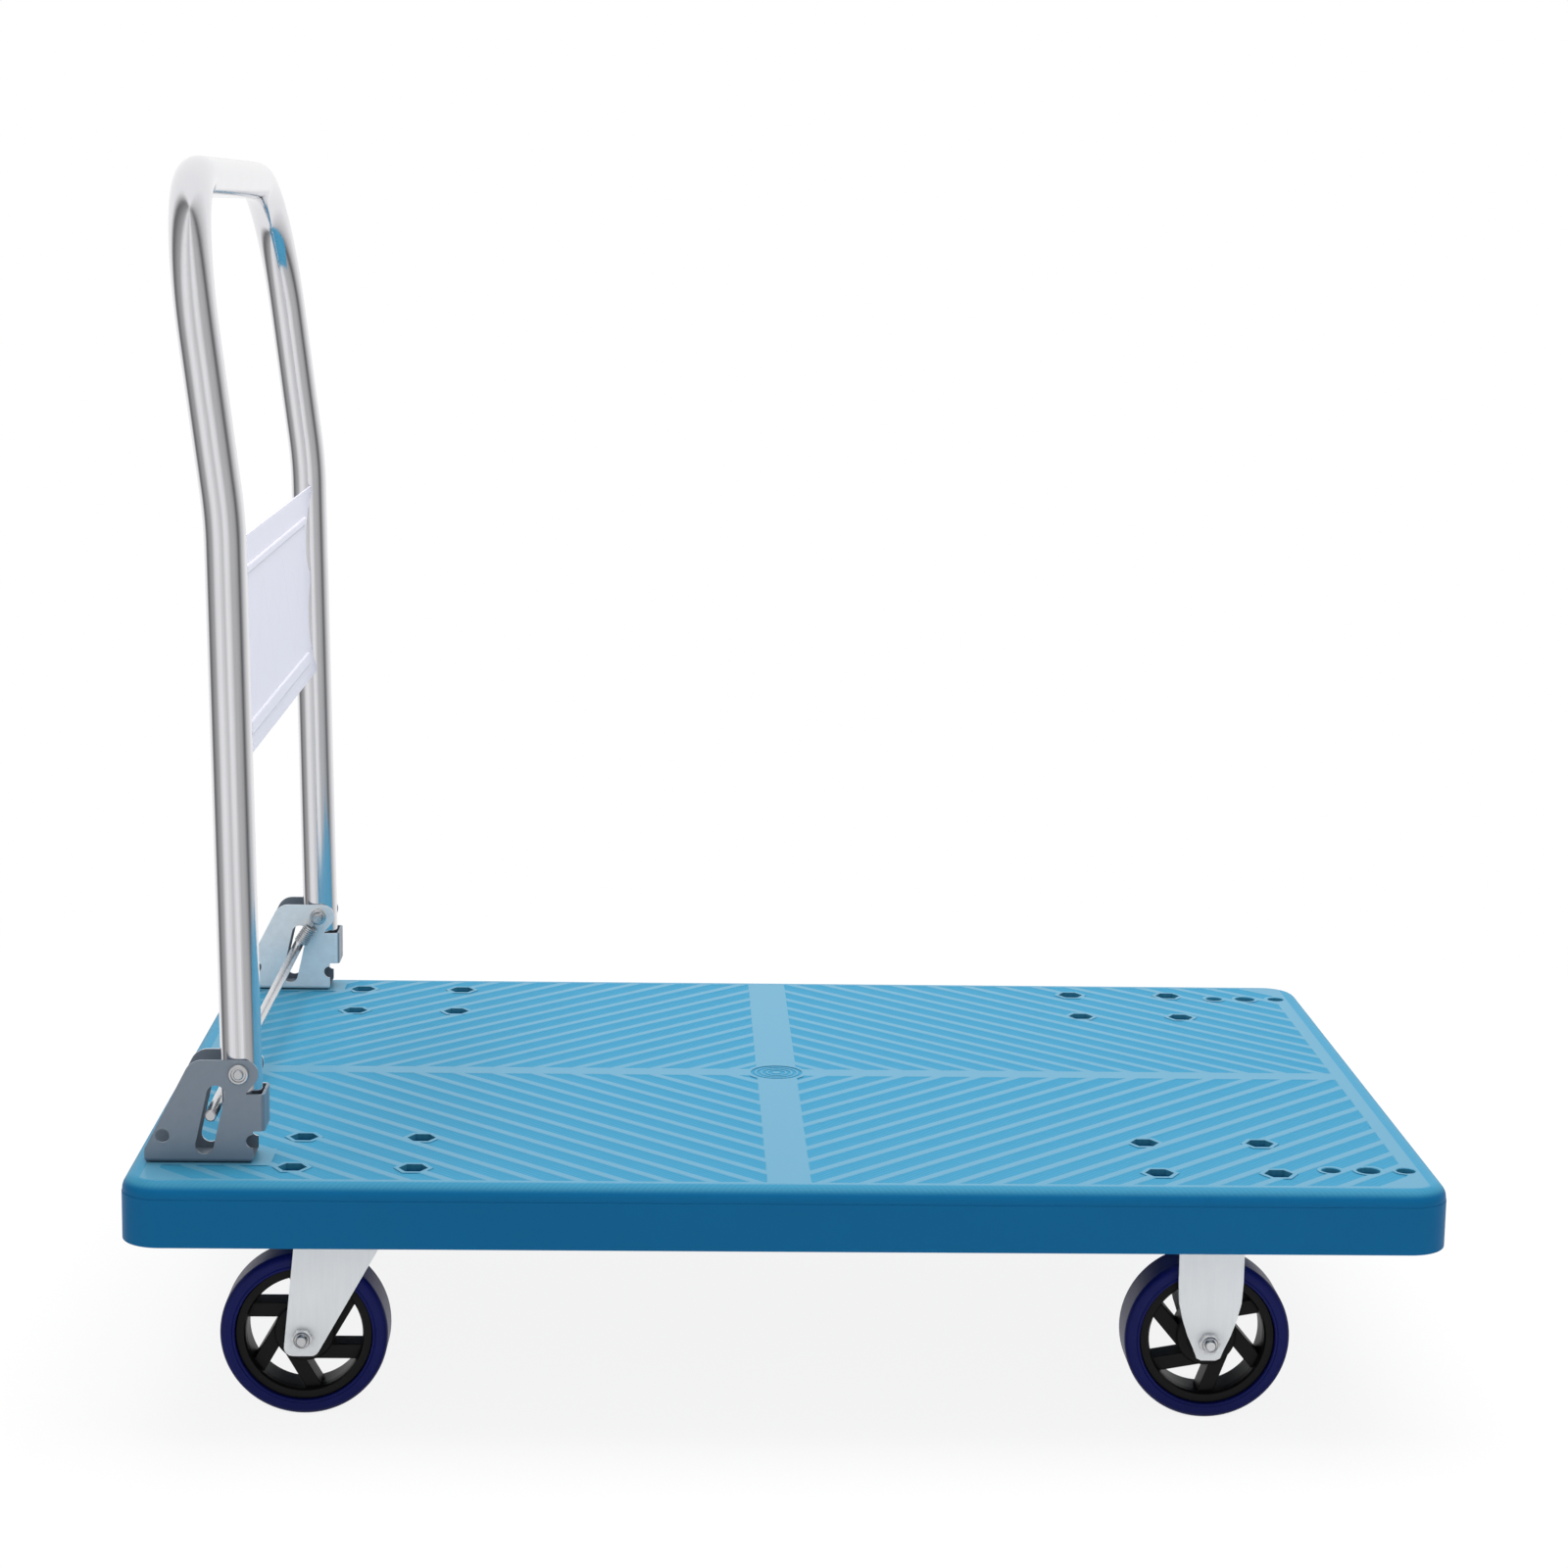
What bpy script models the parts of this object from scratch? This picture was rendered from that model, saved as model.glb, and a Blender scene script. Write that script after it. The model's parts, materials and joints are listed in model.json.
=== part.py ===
"""Folding platform cart: a moulded deck on two swivel and two fixed casters, with a folding tube handle.

Metres, +Z up. The origin is on the ground below the middle of the deck. +X is the front, where the
fixed casters are; the folding handle and the swivel casters are at the -X end. +Y is the left side.
"""

import math

import bmesh
import bpy
from mathutils import Matrix, Vector

GAP = 0.0003              # between pieces that touch
RUNNING_GAP = 0.0005      # between pieces that move past each other

# Deck
DECK_LENGTH = 0.900
DECK_WIDTH = 0.600
DECK_DEPTH = 0.045
DECK_CORNER_RADIUS = 0.028
DECK_EDGE_RADIUS = 0.010
DECK_TOP_WALL = 0.005
DECK_SKIRT_WALL = 0.004
RIB_WALL = 0.003
RIB_RECESS = 0.002        # the ribs end this far above the skirt's lower edge
POCKET_PITCH = 0.0925     # largest pitch of the pockets between the ribs
POCKET_CORNER_INSET = 0.3     # of the deck's corner radius, for the four corner pockets
CENTRE_RECESS_DIAMETER = 0.039
CENTRE_RECESS_DEPTH = 0.001
BLIND_HOLE_DEPTH = 0.030  # of the bolts' and ropes' holes, into the pockets
TOW_HOLE_DIAMETERS = (0.013, 0.016, 0.013)
TOW_HOLE_PITCH = 0.026
TOW_HOLE_FROM_FRONT = 0.049   # middle hole of each row of three
TOW_HOLE_FROM_SIDE = 0.050

# Casters
WHEEL_DIAMETER = 0.116
TREAD_WIDTH = 0.036
TREAD_THICKNESS = 0.0105
TREAD_SHOULDER = 0.005
RIM_WIDTH = 0.030
RIM_WALL = 0.0068
HUB_DIAMETER = 0.042
HUB_WIDTH = 0.038
SPOKE_COUNT = 6
SPOKE_THICKNESS = 0.0105
SPOKE_DEPTH = 0.019
SPOKE_OFFSET = 0.015      # the spokes pass beside the axle, like a pinwheel's
SWIVEL_SPOKES = (-1, 0)   # which way the spokes pass the axle, and degrees the rim is turned by
FIXED_SPOKES = (1, 10)
SLEEVE_DIAMETER = 0.016
AXLE_DIAMETER = 0.008
CASTER_FROM_END = 0.154   # middle of the mounting plate
CASTER_FROM_SIDE = 0.078
CASTER_TRAIL = 0.0365
FORK_SHEET = 0.0025
FORK_WHEEL_GAP = 0.003    # each side of the tread
FORK_TOP_GAP = 0.0179     # above the tread
FORK_CROWN_DIAMETER = 0.062
FORK_AXLE_EDGE = 0.0135   # from the axle to the fork's lower end
FORK_BEND = 0.004         # inside the bend between the crown and a side
SWIVEL_FORK_FOOT = (-0.0130, 0.0115)    # the sides' lower end, rear and front of the axle
SWIVEL_FORK_TOP = (-0.041, 0.024)       # the sides' upper end, rear and front of the crown's middle
SWIVEL_FORK_CORNER = 0.006
FIXED_FORK_SIDE = ((0.0082, -0.0120), (0.0105, -0.006), (0.0150, 0.004), (0.0190, 0.016),
                   (0.0218, 0.028), (0.0226, 0.042))   # half width at heights about the axle
FIXED_FORK_FOOT = 0.005
RACE_HEIGHT = 0.010
RACE_DIAMETER = 0.060
RACE_BORE = 0.024
RACE_CHAMFER = 0.004
KINGPIN_DIAMETER = 0.012
KINGPIN_HEAD_DIAMETER = 0.019
KINGPIN_HEAD_HEIGHT = 0.004
PLATE_LENGTH = 0.105
PLATE_WIDTH = 0.095
PLATE_THICKNESS = 0.003
PLATE_HOLES_LENGTH = 0.082
PLATE_HOLES_WIDTH = 0.074
PAD_RECESS = 0.011        # the mounting pads sit this far up inside the skirt
PAD_MARGIN = 0.0065
MOUNT_BOLT_DIAMETER = 0.008
MOUNT_BOLT_END = 0.0085   # the mounting bolts end this far below the caster plates
HEX_ACROSS = 0.013        # across the flats of every M8 head and nut
HEX_HEIGHT = 0.0055
NUT_EXTRA_HEIGHT = 0.001  # of the axles' locking nuts
AXLE_BOLT_END = 0.003     # beyond the nut
HEX_POCKET_ACROSS = 0.0175
HEX_POCKET_DEPTH = 0.022

# Handle
HANDLE_SIDE_MARGIN = 0.047    # from the deck's side to the leg, before the offset
HANDLE_OFFSET = 0.018         # the whole handle sits this far to the left of the middle
TUBE_DIAMETER = 0.028
TUBE_WALL = 0.0015
HANDLE_HEIGHT = 0.5996        # pivot to the middle of the crossbar, measured upright
HANDLE_BEND_HEIGHT = 0.376    # pivot to the bend, along the leg
HANDLE_LEAN = 0.0189          # radians, lower legs
HANDLE_BEND = 0.1076          # radians, further lean above the bend
HANDLE_BEND_RADIUS = 0.350
HANDLE_CORNER_RADIUS = 0.1046
TAIL_RADIUS = 0.0285          # the legs end on an arc of this radius about the pivot
TUBE_SIDES = 12
PANEL_THICKNESS = 0.0016
PANEL_BOTTOM = 0.205          # above the pivot
PANEL_TOP = 0.357
PANEL_TIP = 0.285             # height of the blunt tip in the middle of each side
PANEL_TIP_DEPTH = 0.029       # from the leg in to the tip
PANEL_TIP_HEIGHT = 0.010
PANEL_FORWARD = 0.003         # in front of the legs' middles
PANEL_LAND = 0.006            # height of each welded corner
PANEL_SCALLOP = (0.030, 0.038)    # further depth of the side's hollows below and above the tip
PANEL_BANDS = ((0.2185, 0.2290), (0.3310, 0.3370))   # heights of the two raised bands
PANEL_BAND_HEIGHT = 0.0015
PANEL_BAND_END = 0.055        # from the leg to the end of a band

# Hinge brackets, latch
BRACKET_FROM_END = 0.012
BRACKET_LENGTH = 0.0816
BRACKET_SHEET = 0.002
BRACKET_TAB_GAP = 0.0012      # from an upright leg to the stop tabs
BRACKET_TAB_REACH = 0.0080    # the stop tabs stand out this far in front of the cheeks
BRACKET_FRONT_BEND = 0.0038    # outside of the bends at the stop tabs
BRACKET_HEEL = 0.0095         # height of the rear end, below the slanted back
BRACKET_SHOULDER_RADIUS = 0.0126
BRACKET_SHOULDER = 0.0247     # behind the pivot
BRACKET_NOTCH = (0.0050, -0.0130)    # the notch's end, about the pivot
BRACKET_TAB_FOOT = 0.0225     # the stop tabs' lower end, above the deck
BRACKET_RELIEF = (0.0152, 0.0048)    # height and radius of the round relief below the tabs
BRACKET_HOLE = (0.0123, 0.019, 0.0095)   # from the rear end, above the deck, diameter
BRACKET_TAB_SLIT = 0.001      # between the two stop tabs
BRACKET_BOLT_DIAMETER = 0.006
BRACKET_BOLT_HEAD = 0.011
BRACKET_BOLT_HEAD_HEIGHT = 0.004
BRACKET_BOLT_LENGTH = 0.016
BRACKET_BOLT_STEPS = (0.020, 0.062)   # from the bracket's rear end
PIVOT_HEIGHT = 0.0624         # above the deck
PIVOT_NOSE = 0.0096       # radius of the bracket's nose
PIVOT_NOSE_FORWARD = 0.0036   # pivot to the middle of the nose
PIVOT_BOLT_DIAMETER = 0.008
PIVOT_HEAD_DIAMETER = 0.014
PIVOT_HEAD_HEIGHT = 0.0022
PIVOT_BOLT_END = 0.003        # the bolt's outer end stands out of the bracket by this much
PIVOT_STUB = 0.0125           # its inner end, which holds a spring
PIVOT_NUT_DIAMETER = 0.013
PIVOT_NUT_HEIGHT = 0.005
LATCH_BAR_DIAMETER = 0.008
LATCH_BAR_BEHIND = 0.0188     # behind and below the pivot, when it holds the legs
LATCH_BAR_BELOW = 0.0283
LATCH_SLOT_ANGLE = 0.220      # radians from upright
LATCH_SLOT_UP = 0.0145        # free slot above the bar
LATCH_TRAVEL = 0.020          # the bar's way down
LATCH_SLOT_WIDTH = 0.0125
LATCH_BAR_OVERHANG = 0.004
SPRING_DIAMETER = 0.012
SPRING_WIRE = 0.0016
SPRING_TURNS = 6
SPRING_SIDE_GAP = 0.001       # from the bracket

# Worked out from the sizes above
AXLE_Z = WHEEL_DIAMETER / 2
FORK_TOP_Z = WHEEL_DIAMETER + FORK_TOP_GAP + FORK_SHEET
PLATE_Z = FORK_TOP_Z + GAP + RACE_HEIGHT
PAD_Z = PLATE_Z + PLATE_THICKNESS + GAP
DECK_BOTTOM_Z = PAD_Z - PAD_RECESS
DECK_TOP_Z = DECK_BOTTOM_Z + DECK_DEPTH
CASTER_X = DECK_LENGTH / 2 - CASTER_FROM_END
CASTER_Y = DECK_WIDTH / 2 - CASTER_FROM_SIDE
LEG_SPACING = DECK_WIDTH - 2 * HANDLE_SIDE_MARGIN
BRACKET_REAR_X = -DECK_LENGTH / 2 + BRACKET_FROM_END
BRACKET_FRONT_REACH = TUBE_DIAMETER / 2 + BRACKET_TAB_GAP + BRACKET_SHEET    # pivot to the tabs' front face
BRACKET_CHEEK = BRACKET_FRONT_REACH - BRACKET_TAB_REACH     # pivot to the front edge above and below the tabs
PIVOT_X = BRACKET_REAR_X + BRACKET_LENGTH - BRACKET_FRONT_REACH
PIVOT_Z = DECK_TOP_Z + PIVOT_HEIGHT
LATCH_DIRECTION = Vector((-math.sin(LATCH_SLOT_ANGLE), 0, -math.cos(LATCH_SLOT_ANGLE)))
LATCH_BAR = Vector((PIVOT_X - LATCH_BAR_BEHIND, HANDLE_OFFSET, PIVOT_Z - LATCH_BAR_BELOW))
BRACKET_WIDTH = TUBE_DIAMETER + 2 * RUNNING_GAP + 2 * BRACKET_SHEET
SIDES = {"right": -1, "left": 1}
SIDE_AXIS = Matrix.Rotation(math.radians(90), 4, "X")   # turns a piece's +Z to -Y, and its +Y to +Z
CROSS_AXIS = Matrix(((0, 0, 1, 0), (1, 0, 0, 0), (0, 1, 0, 0), (0, 0, 0, 1)))   # its +X to +Y, +Y to +Z
BEYOND = 0.2              # how far a cutter reaches past what it cuts


def material(name, colour, roughness, metallic=0.0):
    made = bpy.data.materials.new(name)
    made.use_nodes = True
    shader = made.node_tree.nodes["Principled BSDF"]
    shader.inputs["Base Color"].default_value = (*colour, 1)
    shader.inputs["Roughness"].default_value = roughness
    shader.inputs["Metallic"].default_value = metallic
    made.diffuse_color = (*colour, 1)
    return made


def new_object(name, mesh, finish=None, place=(0, 0, 0)):
    obj = bpy.data.objects.new(name, mesh)
    bpy.context.scene.collection.objects.link(obj)
    obj.location = place
    if finish:
        mesh.materials.append(finish)
    return obj


def finished_mesh(name, bm):
    bmesh.ops.remove_doubles(bm, verts=bm.verts, dist=1e-6)
    bmesh.ops.recalc_face_normals(bm, faces=bm.faces)
    mesh = bpy.data.meshes.new(name)
    bm.to_mesh(mesh)
    bm.free()
    mesh.shade_smooth()
    mesh.set_sharp_from_angle(angle=math.radians(35))
    return mesh


def prism(outline, low, high, matrix=Matrix()):
    """A mesh of the outline's points (x, y), extruded from z = low to z = high and then placed."""
    bm = bmesh.new()
    face = bm.faces.new([bm.verts.new((x, y, low)) for x, y in outline])
    risen = bmesh.ops.extrude_face_region(bm, geom=[face])["geom"]
    top = [v for v in risen if isinstance(v, bmesh.types.BMVert)]
    bmesh.ops.translate(bm, verts=top, vec=(0, 0, high - low))
    bm.transform(matrix)
    return finished_mesh("prism", bm)


def turned(profile, sides, matrix=Matrix(), flats_down=False):
    """A mesh of the closed profile's points (radius, height), turned about Z with the given sides."""
    bm = bmesh.new()
    stretch = 1 / math.cos(math.pi / sides) if flats_down else 1
    edges = []
    points = [bm.verts.new((radius * stretch, 0, height)) for radius, height in profile]
    for first, second in zip(points, points[1:] + points[:1]):
        edges.append(bm.edges.new((first, second)))
    bmesh.ops.spin(bm, geom=points + edges, cent=(0, 0, 0), axis=(0, 0, 1),
                   angle=2 * math.pi, steps=sides, use_merge=True)
    if flats_down:
        bm.transform(Matrix.Rotation(math.pi / sides + math.pi / 2, 4, "Z"))
    bm.transform(matrix)
    return finished_mesh("turned", bm)


def rod(radius, low, high, sides, matrix=Matrix()):
    return prism(circle(radius, sides), low, high, matrix)


def box(low, high):
    plan = [(low[0], low[1]), (high[0], low[1]), (high[0], high[1]), (low[0], high[1])]
    return prism(plan, low[2], high[2])


def arc(radius, count, centre, start, end):
    """Points along an arc, with both its ends, from one angle to the other in degrees."""
    angles = [math.radians(start + (end - start) * i / (count - 1)) for i in range(count)]
    return [(centre[0] + radius * math.cos(a), centre[1] + radius * math.sin(a)) for a in angles]


def circle(radius, sides, centre=(0, 0)):
    return arc(radius, sides + 1, centre, 0, 360)[:-1]


def rounded_rectangle(length, width, radius, steps):
    points = []
    for quarter, (sx, sy) in enumerate(((1, 1), (-1, 1), (-1, -1), (1, -1))):
        centre = (sx * (length / 2 - radius), sy * (width / 2 - radius))
        points += arc(radius, steps + 1, centre, 90 * quarter, 90 * quarter + 90)
    return points


def hexagon(across, centre=(0, 0)):
    return circle(across / math.sqrt(3), 6, centre)


def placed(x=0, y=0, z=0):
    return Matrix.Translation((x, y, z))


def combine(mesh, others, operation):
    """The mesh with the other meshes joined to it (UNION), cut from it (DIFFERENCE) or kept in common."""
    obj = bpy.data.objects.new("blank", mesh)
    bpy.context.scene.collection.objects.link(obj)
    tools = []
    for other in others:
        tool = bpy.data.objects.new("tool", other)
        tool.hide_render = True
        tool.display_type = "WIRE"
        bpy.context.scene.collection.objects.link(tool)
        step = obj.modifiers.new(operation.lower(), "BOOLEAN")
        step.operation = operation
        step.object = tool
        tools.append(tool)
    evaluated = obj.evaluated_get(bpy.context.evaluated_depsgraph_get())
    made = bpy.data.meshes.new_from_object(evaluated)
    for helper in [obj] + tools:
        bpy.data.objects.remove(helper)
    made.materials.clear()
    made.shade_smooth()
    made.set_sharp_from_angle(angle=math.radians(35))
    return made


def merged(meshes):
    """One mesh of several that don't meet, to use as one cutter."""
    bm = bmesh.new()
    for mesh in meshes:
        bm.from_mesh(mesh)
    mesh = bpy.data.meshes.new("cutters")
    bm.to_mesh(mesh)
    bm.free()
    return mesh


def cut(mesh, *cutters):
    return combine(mesh, [merged(cutters)], "DIFFERENCE")


def swept(points, normals, radius, sides, bore=None):
    """A mesh of a round tube along the points. normals[i] is square to the path at points[i]."""
    bm = bmesh.new()
    walls = []
    for size in [radius] + ([bore] if bore else []):
        rings = []
        for i, point in enumerate(points):
            along = (points[min(i + 1, len(points) - 1)] - points[max(i - 1, 0)]).normalized()
            across = along.cross(normals[i]).normalized()
            rings.append([
                bm.verts.new(point + size * (math.cos(a) * normals[i] + math.sin(a) * across))
                for a in (2 * math.pi * k / sides for k in range(sides))
            ])
        for first, second in zip(rings, rings[1:]):
            for k in range(sides):
                bm.faces.new((first[k], first[k - 1], second[k - 1], second[k]))
        walls.append(rings)
    for end in (0, -1):
        if bore:
            outer, inner = walls[0][end], walls[1][end]
            for k in range(sides):
                bm.faces.new((outer[k], outer[k - 1], inner[k - 1], inner[k]))
        else:
            bm.faces.new(walls[0][end])
    return finished_mesh("swept", bm)


# ---------------------------------------------------------------- deck


def caster_places():
    """(kind, side, x, y) of each caster: the swivel ones are at the handle's end."""
    for kind, end in (("swivel", -1), ("fixed", 1)):
        for side, sign in SIDES.items():
            yield kind, side, end * CASTER_X, sign * CASTER_Y


def mount_bolt_places():
    """(caster kind, side, corner, x, y) of each bolt that holds a caster's plate."""
    corners = {"rear_right": (-1, -1), "rear_left": (-1, 1), "front_right": (1, -1), "front_left": (1, 1)}
    for kind, side, x, y in caster_places():
        for corner, (sx, sy) in corners.items():
            yield kind, side, corner, x + sx * PLATE_HOLES_LENGTH / 2, y + sy * PLATE_HOLES_WIDTH / 2


def cells(low, high):
    """Splits a stretch into equal cells, with a rib between each two."""
    count = max(1, math.ceil((high - low + RIB_WALL) / POCKET_PITCH))
    pitch = (high - low + RIB_WALL) / count
    return [(low + i * pitch, low + (i + 1) * pitch - RIB_WALL) for i in range(count)]


def pocket_spans(half_inside, bay_low, bay_high):
    """The pockets' stretches along one axis, with the two caster bays as stretches of their own."""
    outer = cells(bay_high + RIB_WALL, half_inside)
    spans = [(-high, -low, False) for low, high in outer]
    spans += [(-bay_high, -bay_low, True), (bay_low, bay_high, True)]
    spans += [(low, high, False) for low, high in outer]
    spans += [(low, high, False) for low, high in cells(RIB_WALL - bay_low, bay_low - RIB_WALL)]
    return spans


def deck_mesh():
    blank = prism(
        rounded_rectangle(DECK_LENGTH, DECK_WIDTH, DECK_CORNER_RADIUS, 5), DECK_BOTTOM_Z, DECK_TOP_Z
    )
    bm = bmesh.new()
    bm.from_mesh(blank)
    rim = [e for e in bm.edges if all(v.co.z > DECK_TOP_Z - 1e-5 for v in e.verts)]
    bmesh.ops.bevel(bm, geom=rim, offset=DECK_EDGE_RADIUS, segments=3, profile=0.5, affect="EDGES")
    mesh = finished_mesh("deck", bm)

    half_length = DECK_LENGTH / 2 - DECK_SKIRT_WALL
    half_width = DECK_WIDTH / 2 - DECK_SKIRT_WALL
    below = DECK_BOTTOM_Z - BEYOND
    above = DECK_TOP_Z + BEYOND
    tray = prism(
        rounded_rectangle(2 * half_length, 2 * half_width, DECK_CORNER_RADIUS - DECK_SKIRT_WALL, 4),
        below, DECK_BOTTOM_Z + RIB_RECESS,
    )
    bay_x = PLATE_LENGTH / 2 + PAD_MARGIN
    bay_y = PLATE_WIDTH / 2 + PAD_MARGIN
    columns = pocket_spans(half_length, CASTER_X - bay_x, CASTER_X + bay_x)
    rows = pocket_spans(half_width, CASTER_Y - bay_y, CASTER_Y + bay_y)
    inset = DECK_CORNER_RADIUS * POCKET_CORNER_INSET
    corner_x, corner_y = half_length - inset, half_width - inset
    pockets = []
    for x0, x1, bay_column in columns:
        for y0, y1, bay_row in rows:
            if max(-x0, x1) > corner_x and max(-y0, y1) > corner_y:
                x0, x1 = max(x0, -corner_x), min(x1, corner_x)
                y0, y1 = max(y0, -corner_y), min(y1, corner_y)
            top = PAD_Z if bay_column and bay_row else DECK_TOP_Z - DECK_TOP_WALL
            pockets.append(box((x0, y0, below), (x1, y1, top)))
    mesh = cut(mesh, tray)
    mesh = cut(mesh, *pockets)

    heads, shanks = [], []
    pocket_z = DECK_TOP_Z - HEX_POCKET_DEPTH
    for _, _, _, x, y in mount_bolt_places():
        heads.append(prism(hexagon(HEX_POCKET_ACROSS), pocket_z, above, placed(x, y)))
        shanks.append(rod(MOUNT_BOLT_DIAMETER / 2 + RUNNING_GAP, below, pocket_z + GAP, 8, placed(x, y)))
    mesh = cut(mesh, *heads)
    mesh = cut(mesh, *shanks)

    hole_z = DECK_TOP_Z - BLIND_HOLE_DEPTH
    holes = [rod(CENTRE_RECESS_DIAMETER / 2, DECK_TOP_Z - CENTRE_RECESS_DEPTH, above, 24)]
    for sign in SIDES.values():
        for step, diameter in zip((-1, 0, 1), TOW_HOLE_DIAMETERS):
            x = DECK_LENGTH / 2 - TOW_HOLE_FROM_FRONT + step * TOW_HOLE_PITCH
            y = sign * (DECK_WIDTH / 2 - TOW_HOLE_FROM_SIDE)
            holes.append(rod(diameter / 2, hole_z, above, 12, placed(x, y)))
    for x, y in bracket_bolt_places().values():
        holes.append(rod(BRACKET_BOLT_DIAMETER / 2 + RUNNING_GAP, hole_z, above, 8, placed(x, y)))
    return cut(mesh, *holes)


# ---------------------------------------------------------------- hinge brackets


def leg_y(side):
    return HANDLE_OFFSET + SIDES[side] * LEG_SPACING / 2


def bracket_bolt_places():
    places = {}
    for side in SIDES:
        for name, step in zip(("rear", "front"), BRACKET_BOLT_STEPS):
            places[side, name] = (BRACKET_REAR_X + step, leg_y(side))
    return places


def stop_tab_top():
    """The folded legs rest on the stop tabs."""
    return PIVOT_HEIGHT - TUBE_DIAMETER / 2 - GAP


def bracket_outline():
    """A side of the bracket, seen from the right: x from the pivot, z above the deck."""
    rear = BRACKET_REAR_X - PIVOT_X
    front = BRACKET_FRONT_REACH
    top = PIVOT_HEIGHT + PIVOT_NOSE
    relief_z, relief_radius = BRACKET_RELIEF
    outline = [(rear, GAP), (rear, BRACKET_HEEL)]
    outline += arc(BRACKET_SHOULDER_RADIUS, 6, (-BRACKET_SHOULDER, top - BRACKET_SHOULDER_RADIUS), 155, 90)
    outline += arc(PIVOT_NOSE, 10, (PIVOT_NOSE_FORWARD, PIVOT_HEIGHT), 90, -50)
    notch_x, notch_z = BRACKET_NOTCH
    outline += [(notch_x, PIVOT_HEIGHT + notch_z), (notch_x, stop_tab_top()), (front, stop_tab_top())]
    outline += [(front, BRACKET_TAB_FOOT), (BRACKET_CHEEK, BRACKET_TAB_FOOT)]
    outline += arc(relief_radius, 5, (BRACKET_CHEEK, relief_z), 90, 270)
    return outline + [(BRACKET_CHEEK, GAP)]


def channel(half, bend):
    """The plan of a bracket's outside or inside: open at the rear, and rounded at the front."""
    front = bend + BRACKET_FRONT_REACH - BRACKET_FRONT_BEND
    plan = [(-BEYOND, -half)]
    plan += arc(bend, 4, (front - bend, -half + bend), -90, 0)
    plan += arc(bend, 4, (front - bend, half - bend), 0, 90)
    return plan + [(-BEYOND, half)]


def bracket_mesh():
    """A bracket about the pivot, the deck's top and the leg's middle."""
    half = BRACKET_WIDTH / 2
    blank = prism(bracket_outline(), -half, half, SIDE_AXIS)
    outside = prism(channel(half, BRACKET_FRONT_BEND), -BEYOND, BEYOND)
    inside = channel(half - BRACKET_SHEET, BRACKET_FRONT_BEND - BRACKET_SHEET)
    inside = prism(inside, GAP + BRACKET_SHEET, BEYOND)
    mesh = cut(combine(blank, [outside], "INTERSECT"), inside)

    bar = Vector((-LATCH_BAR_BEHIND, 0, PIVOT_HEIGHT - LATCH_BAR_BELOW))
    start = bar - LATCH_DIRECTION * LATCH_SLOT_UP
    end = bar + LATCH_DIRECTION * (LATCH_TRAVEL + LATCH_SLOT_WIDTH / 2 - LATCH_BAR_DIAMETER / 2)
    lean = math.degrees(LATCH_SLOT_ANGLE)
    slot = arc(LATCH_SLOT_WIDTH / 2, 9, (start.x, start.z), -lean, 180 - lean)
    slot += arc(LATCH_SLOT_WIDTH / 2, 9, (end.x, end.z), 180 - lean, 360 - lean)
    hole_step, hole_z, hole_diameter = BRACKET_HOLE
    hole_at = (BRACKET_REAR_X - PIVOT_X + hole_step, hole_z)
    slit = BRACKET_TAB_SLIT / 2
    through = [
        prism(slot, -BEYOND, BEYOND, SIDE_AXIS),
        rod(PIVOT_BOLT_DIAMETER / 2 + GAP, -BEYOND, BEYOND, 16, placed(z=PIVOT_HEIGHT) @ SIDE_AXIS),
        prism(circle(hole_diameter / 2, 12, hole_at), -BEYOND, BEYOND, SIDE_AXIS),
        box((BRACKET_CHEEK, -slit, BRACKET_RELIEF[0]), (BEYOND, slit, BEYOND)),
    ]
    for step in BRACKET_BOLT_STEPS:
        bolt_at = placed(BRACKET_REAR_X - PIVOT_X + step)
        through.append(rod(BRACKET_BOLT_DIAMETER / 2 + GAP, -BEYOND, BRACKET_SHEET * 2, 12, bolt_at))
    return cut(mesh, *through)


def hex_bolt(length, diameter, across, height, sides):
    """A bolt pointing down, with its head's underside at z = 0."""
    shank = rod(diameter / 2, -length, height / 2, sides)
    return combine(prism(hexagon(across), 0, height), [shank], "UNION")


def bored(mesh, diameter, sides):
    """The mesh with a hole through it along Z, clear of what runs in it."""
    return cut(mesh, rod(diameter / 2 + GAP, -BEYOND, BEYOND, sides))


def make_brackets(steel, zinc):
    mesh = bracket_mesh()
    bolt = hex_bolt(
        BRACKET_BOLT_LENGTH, BRACKET_BOLT_DIAMETER, BRACKET_BOLT_HEAD, BRACKET_BOLT_HEAD_HEIGHT, 12
    )
    for side in SIDES:
        new_object("hinge_bracket_" + side, mesh.copy(), steel, (PIVOT_X, leg_y(side), DECK_TOP_Z))
    head_z = DECK_TOP_Z + BRACKET_SHEET + 2 * GAP
    for (side, name), (x, y) in bracket_bolt_places().items():
        new_object(f"bracket_bolt_{side}_{name}", bolt.copy(), zinc, (x, y, head_z))


def make_pivots(zinc):
    """A bolt in each bracket, with its head on the outside, and its nut and long end on the inside."""
    half = BRACKET_WIDTH / 2
    for side, sign in SIDES.items():
        outward = Matrix.Rotation(math.radians(-90 * sign), 4, "X")
        place = (PIVOT_X, leg_y(side), PIVOT_Z)
        shank = rod(PIVOT_BOLT_DIAMETER / 2, -half - PIVOT_STUB, half + PIVOT_BOLT_END, 16)
        head = rod(PIVOT_HEAD_DIAMETER / 2, half + GAP, half + PIVOT_HEAD_HEIGHT, 16)
        bolt = combine(head, [shank], "UNION")
        bolt.transform(outward)
        new_object("pivot_bolt_" + side, bolt, zinc, place)
        blank = rod(PIVOT_NUT_DIAMETER / 2, -half - GAP - PIVOT_NUT_HEIGHT, -half - GAP, 16)
        nut = bored(blank, PIVOT_BOLT_DIAMETER, 16)
        nut.transform(outward)
        new_object("pivot_nut_" + side, nut, zinc, place)


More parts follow.
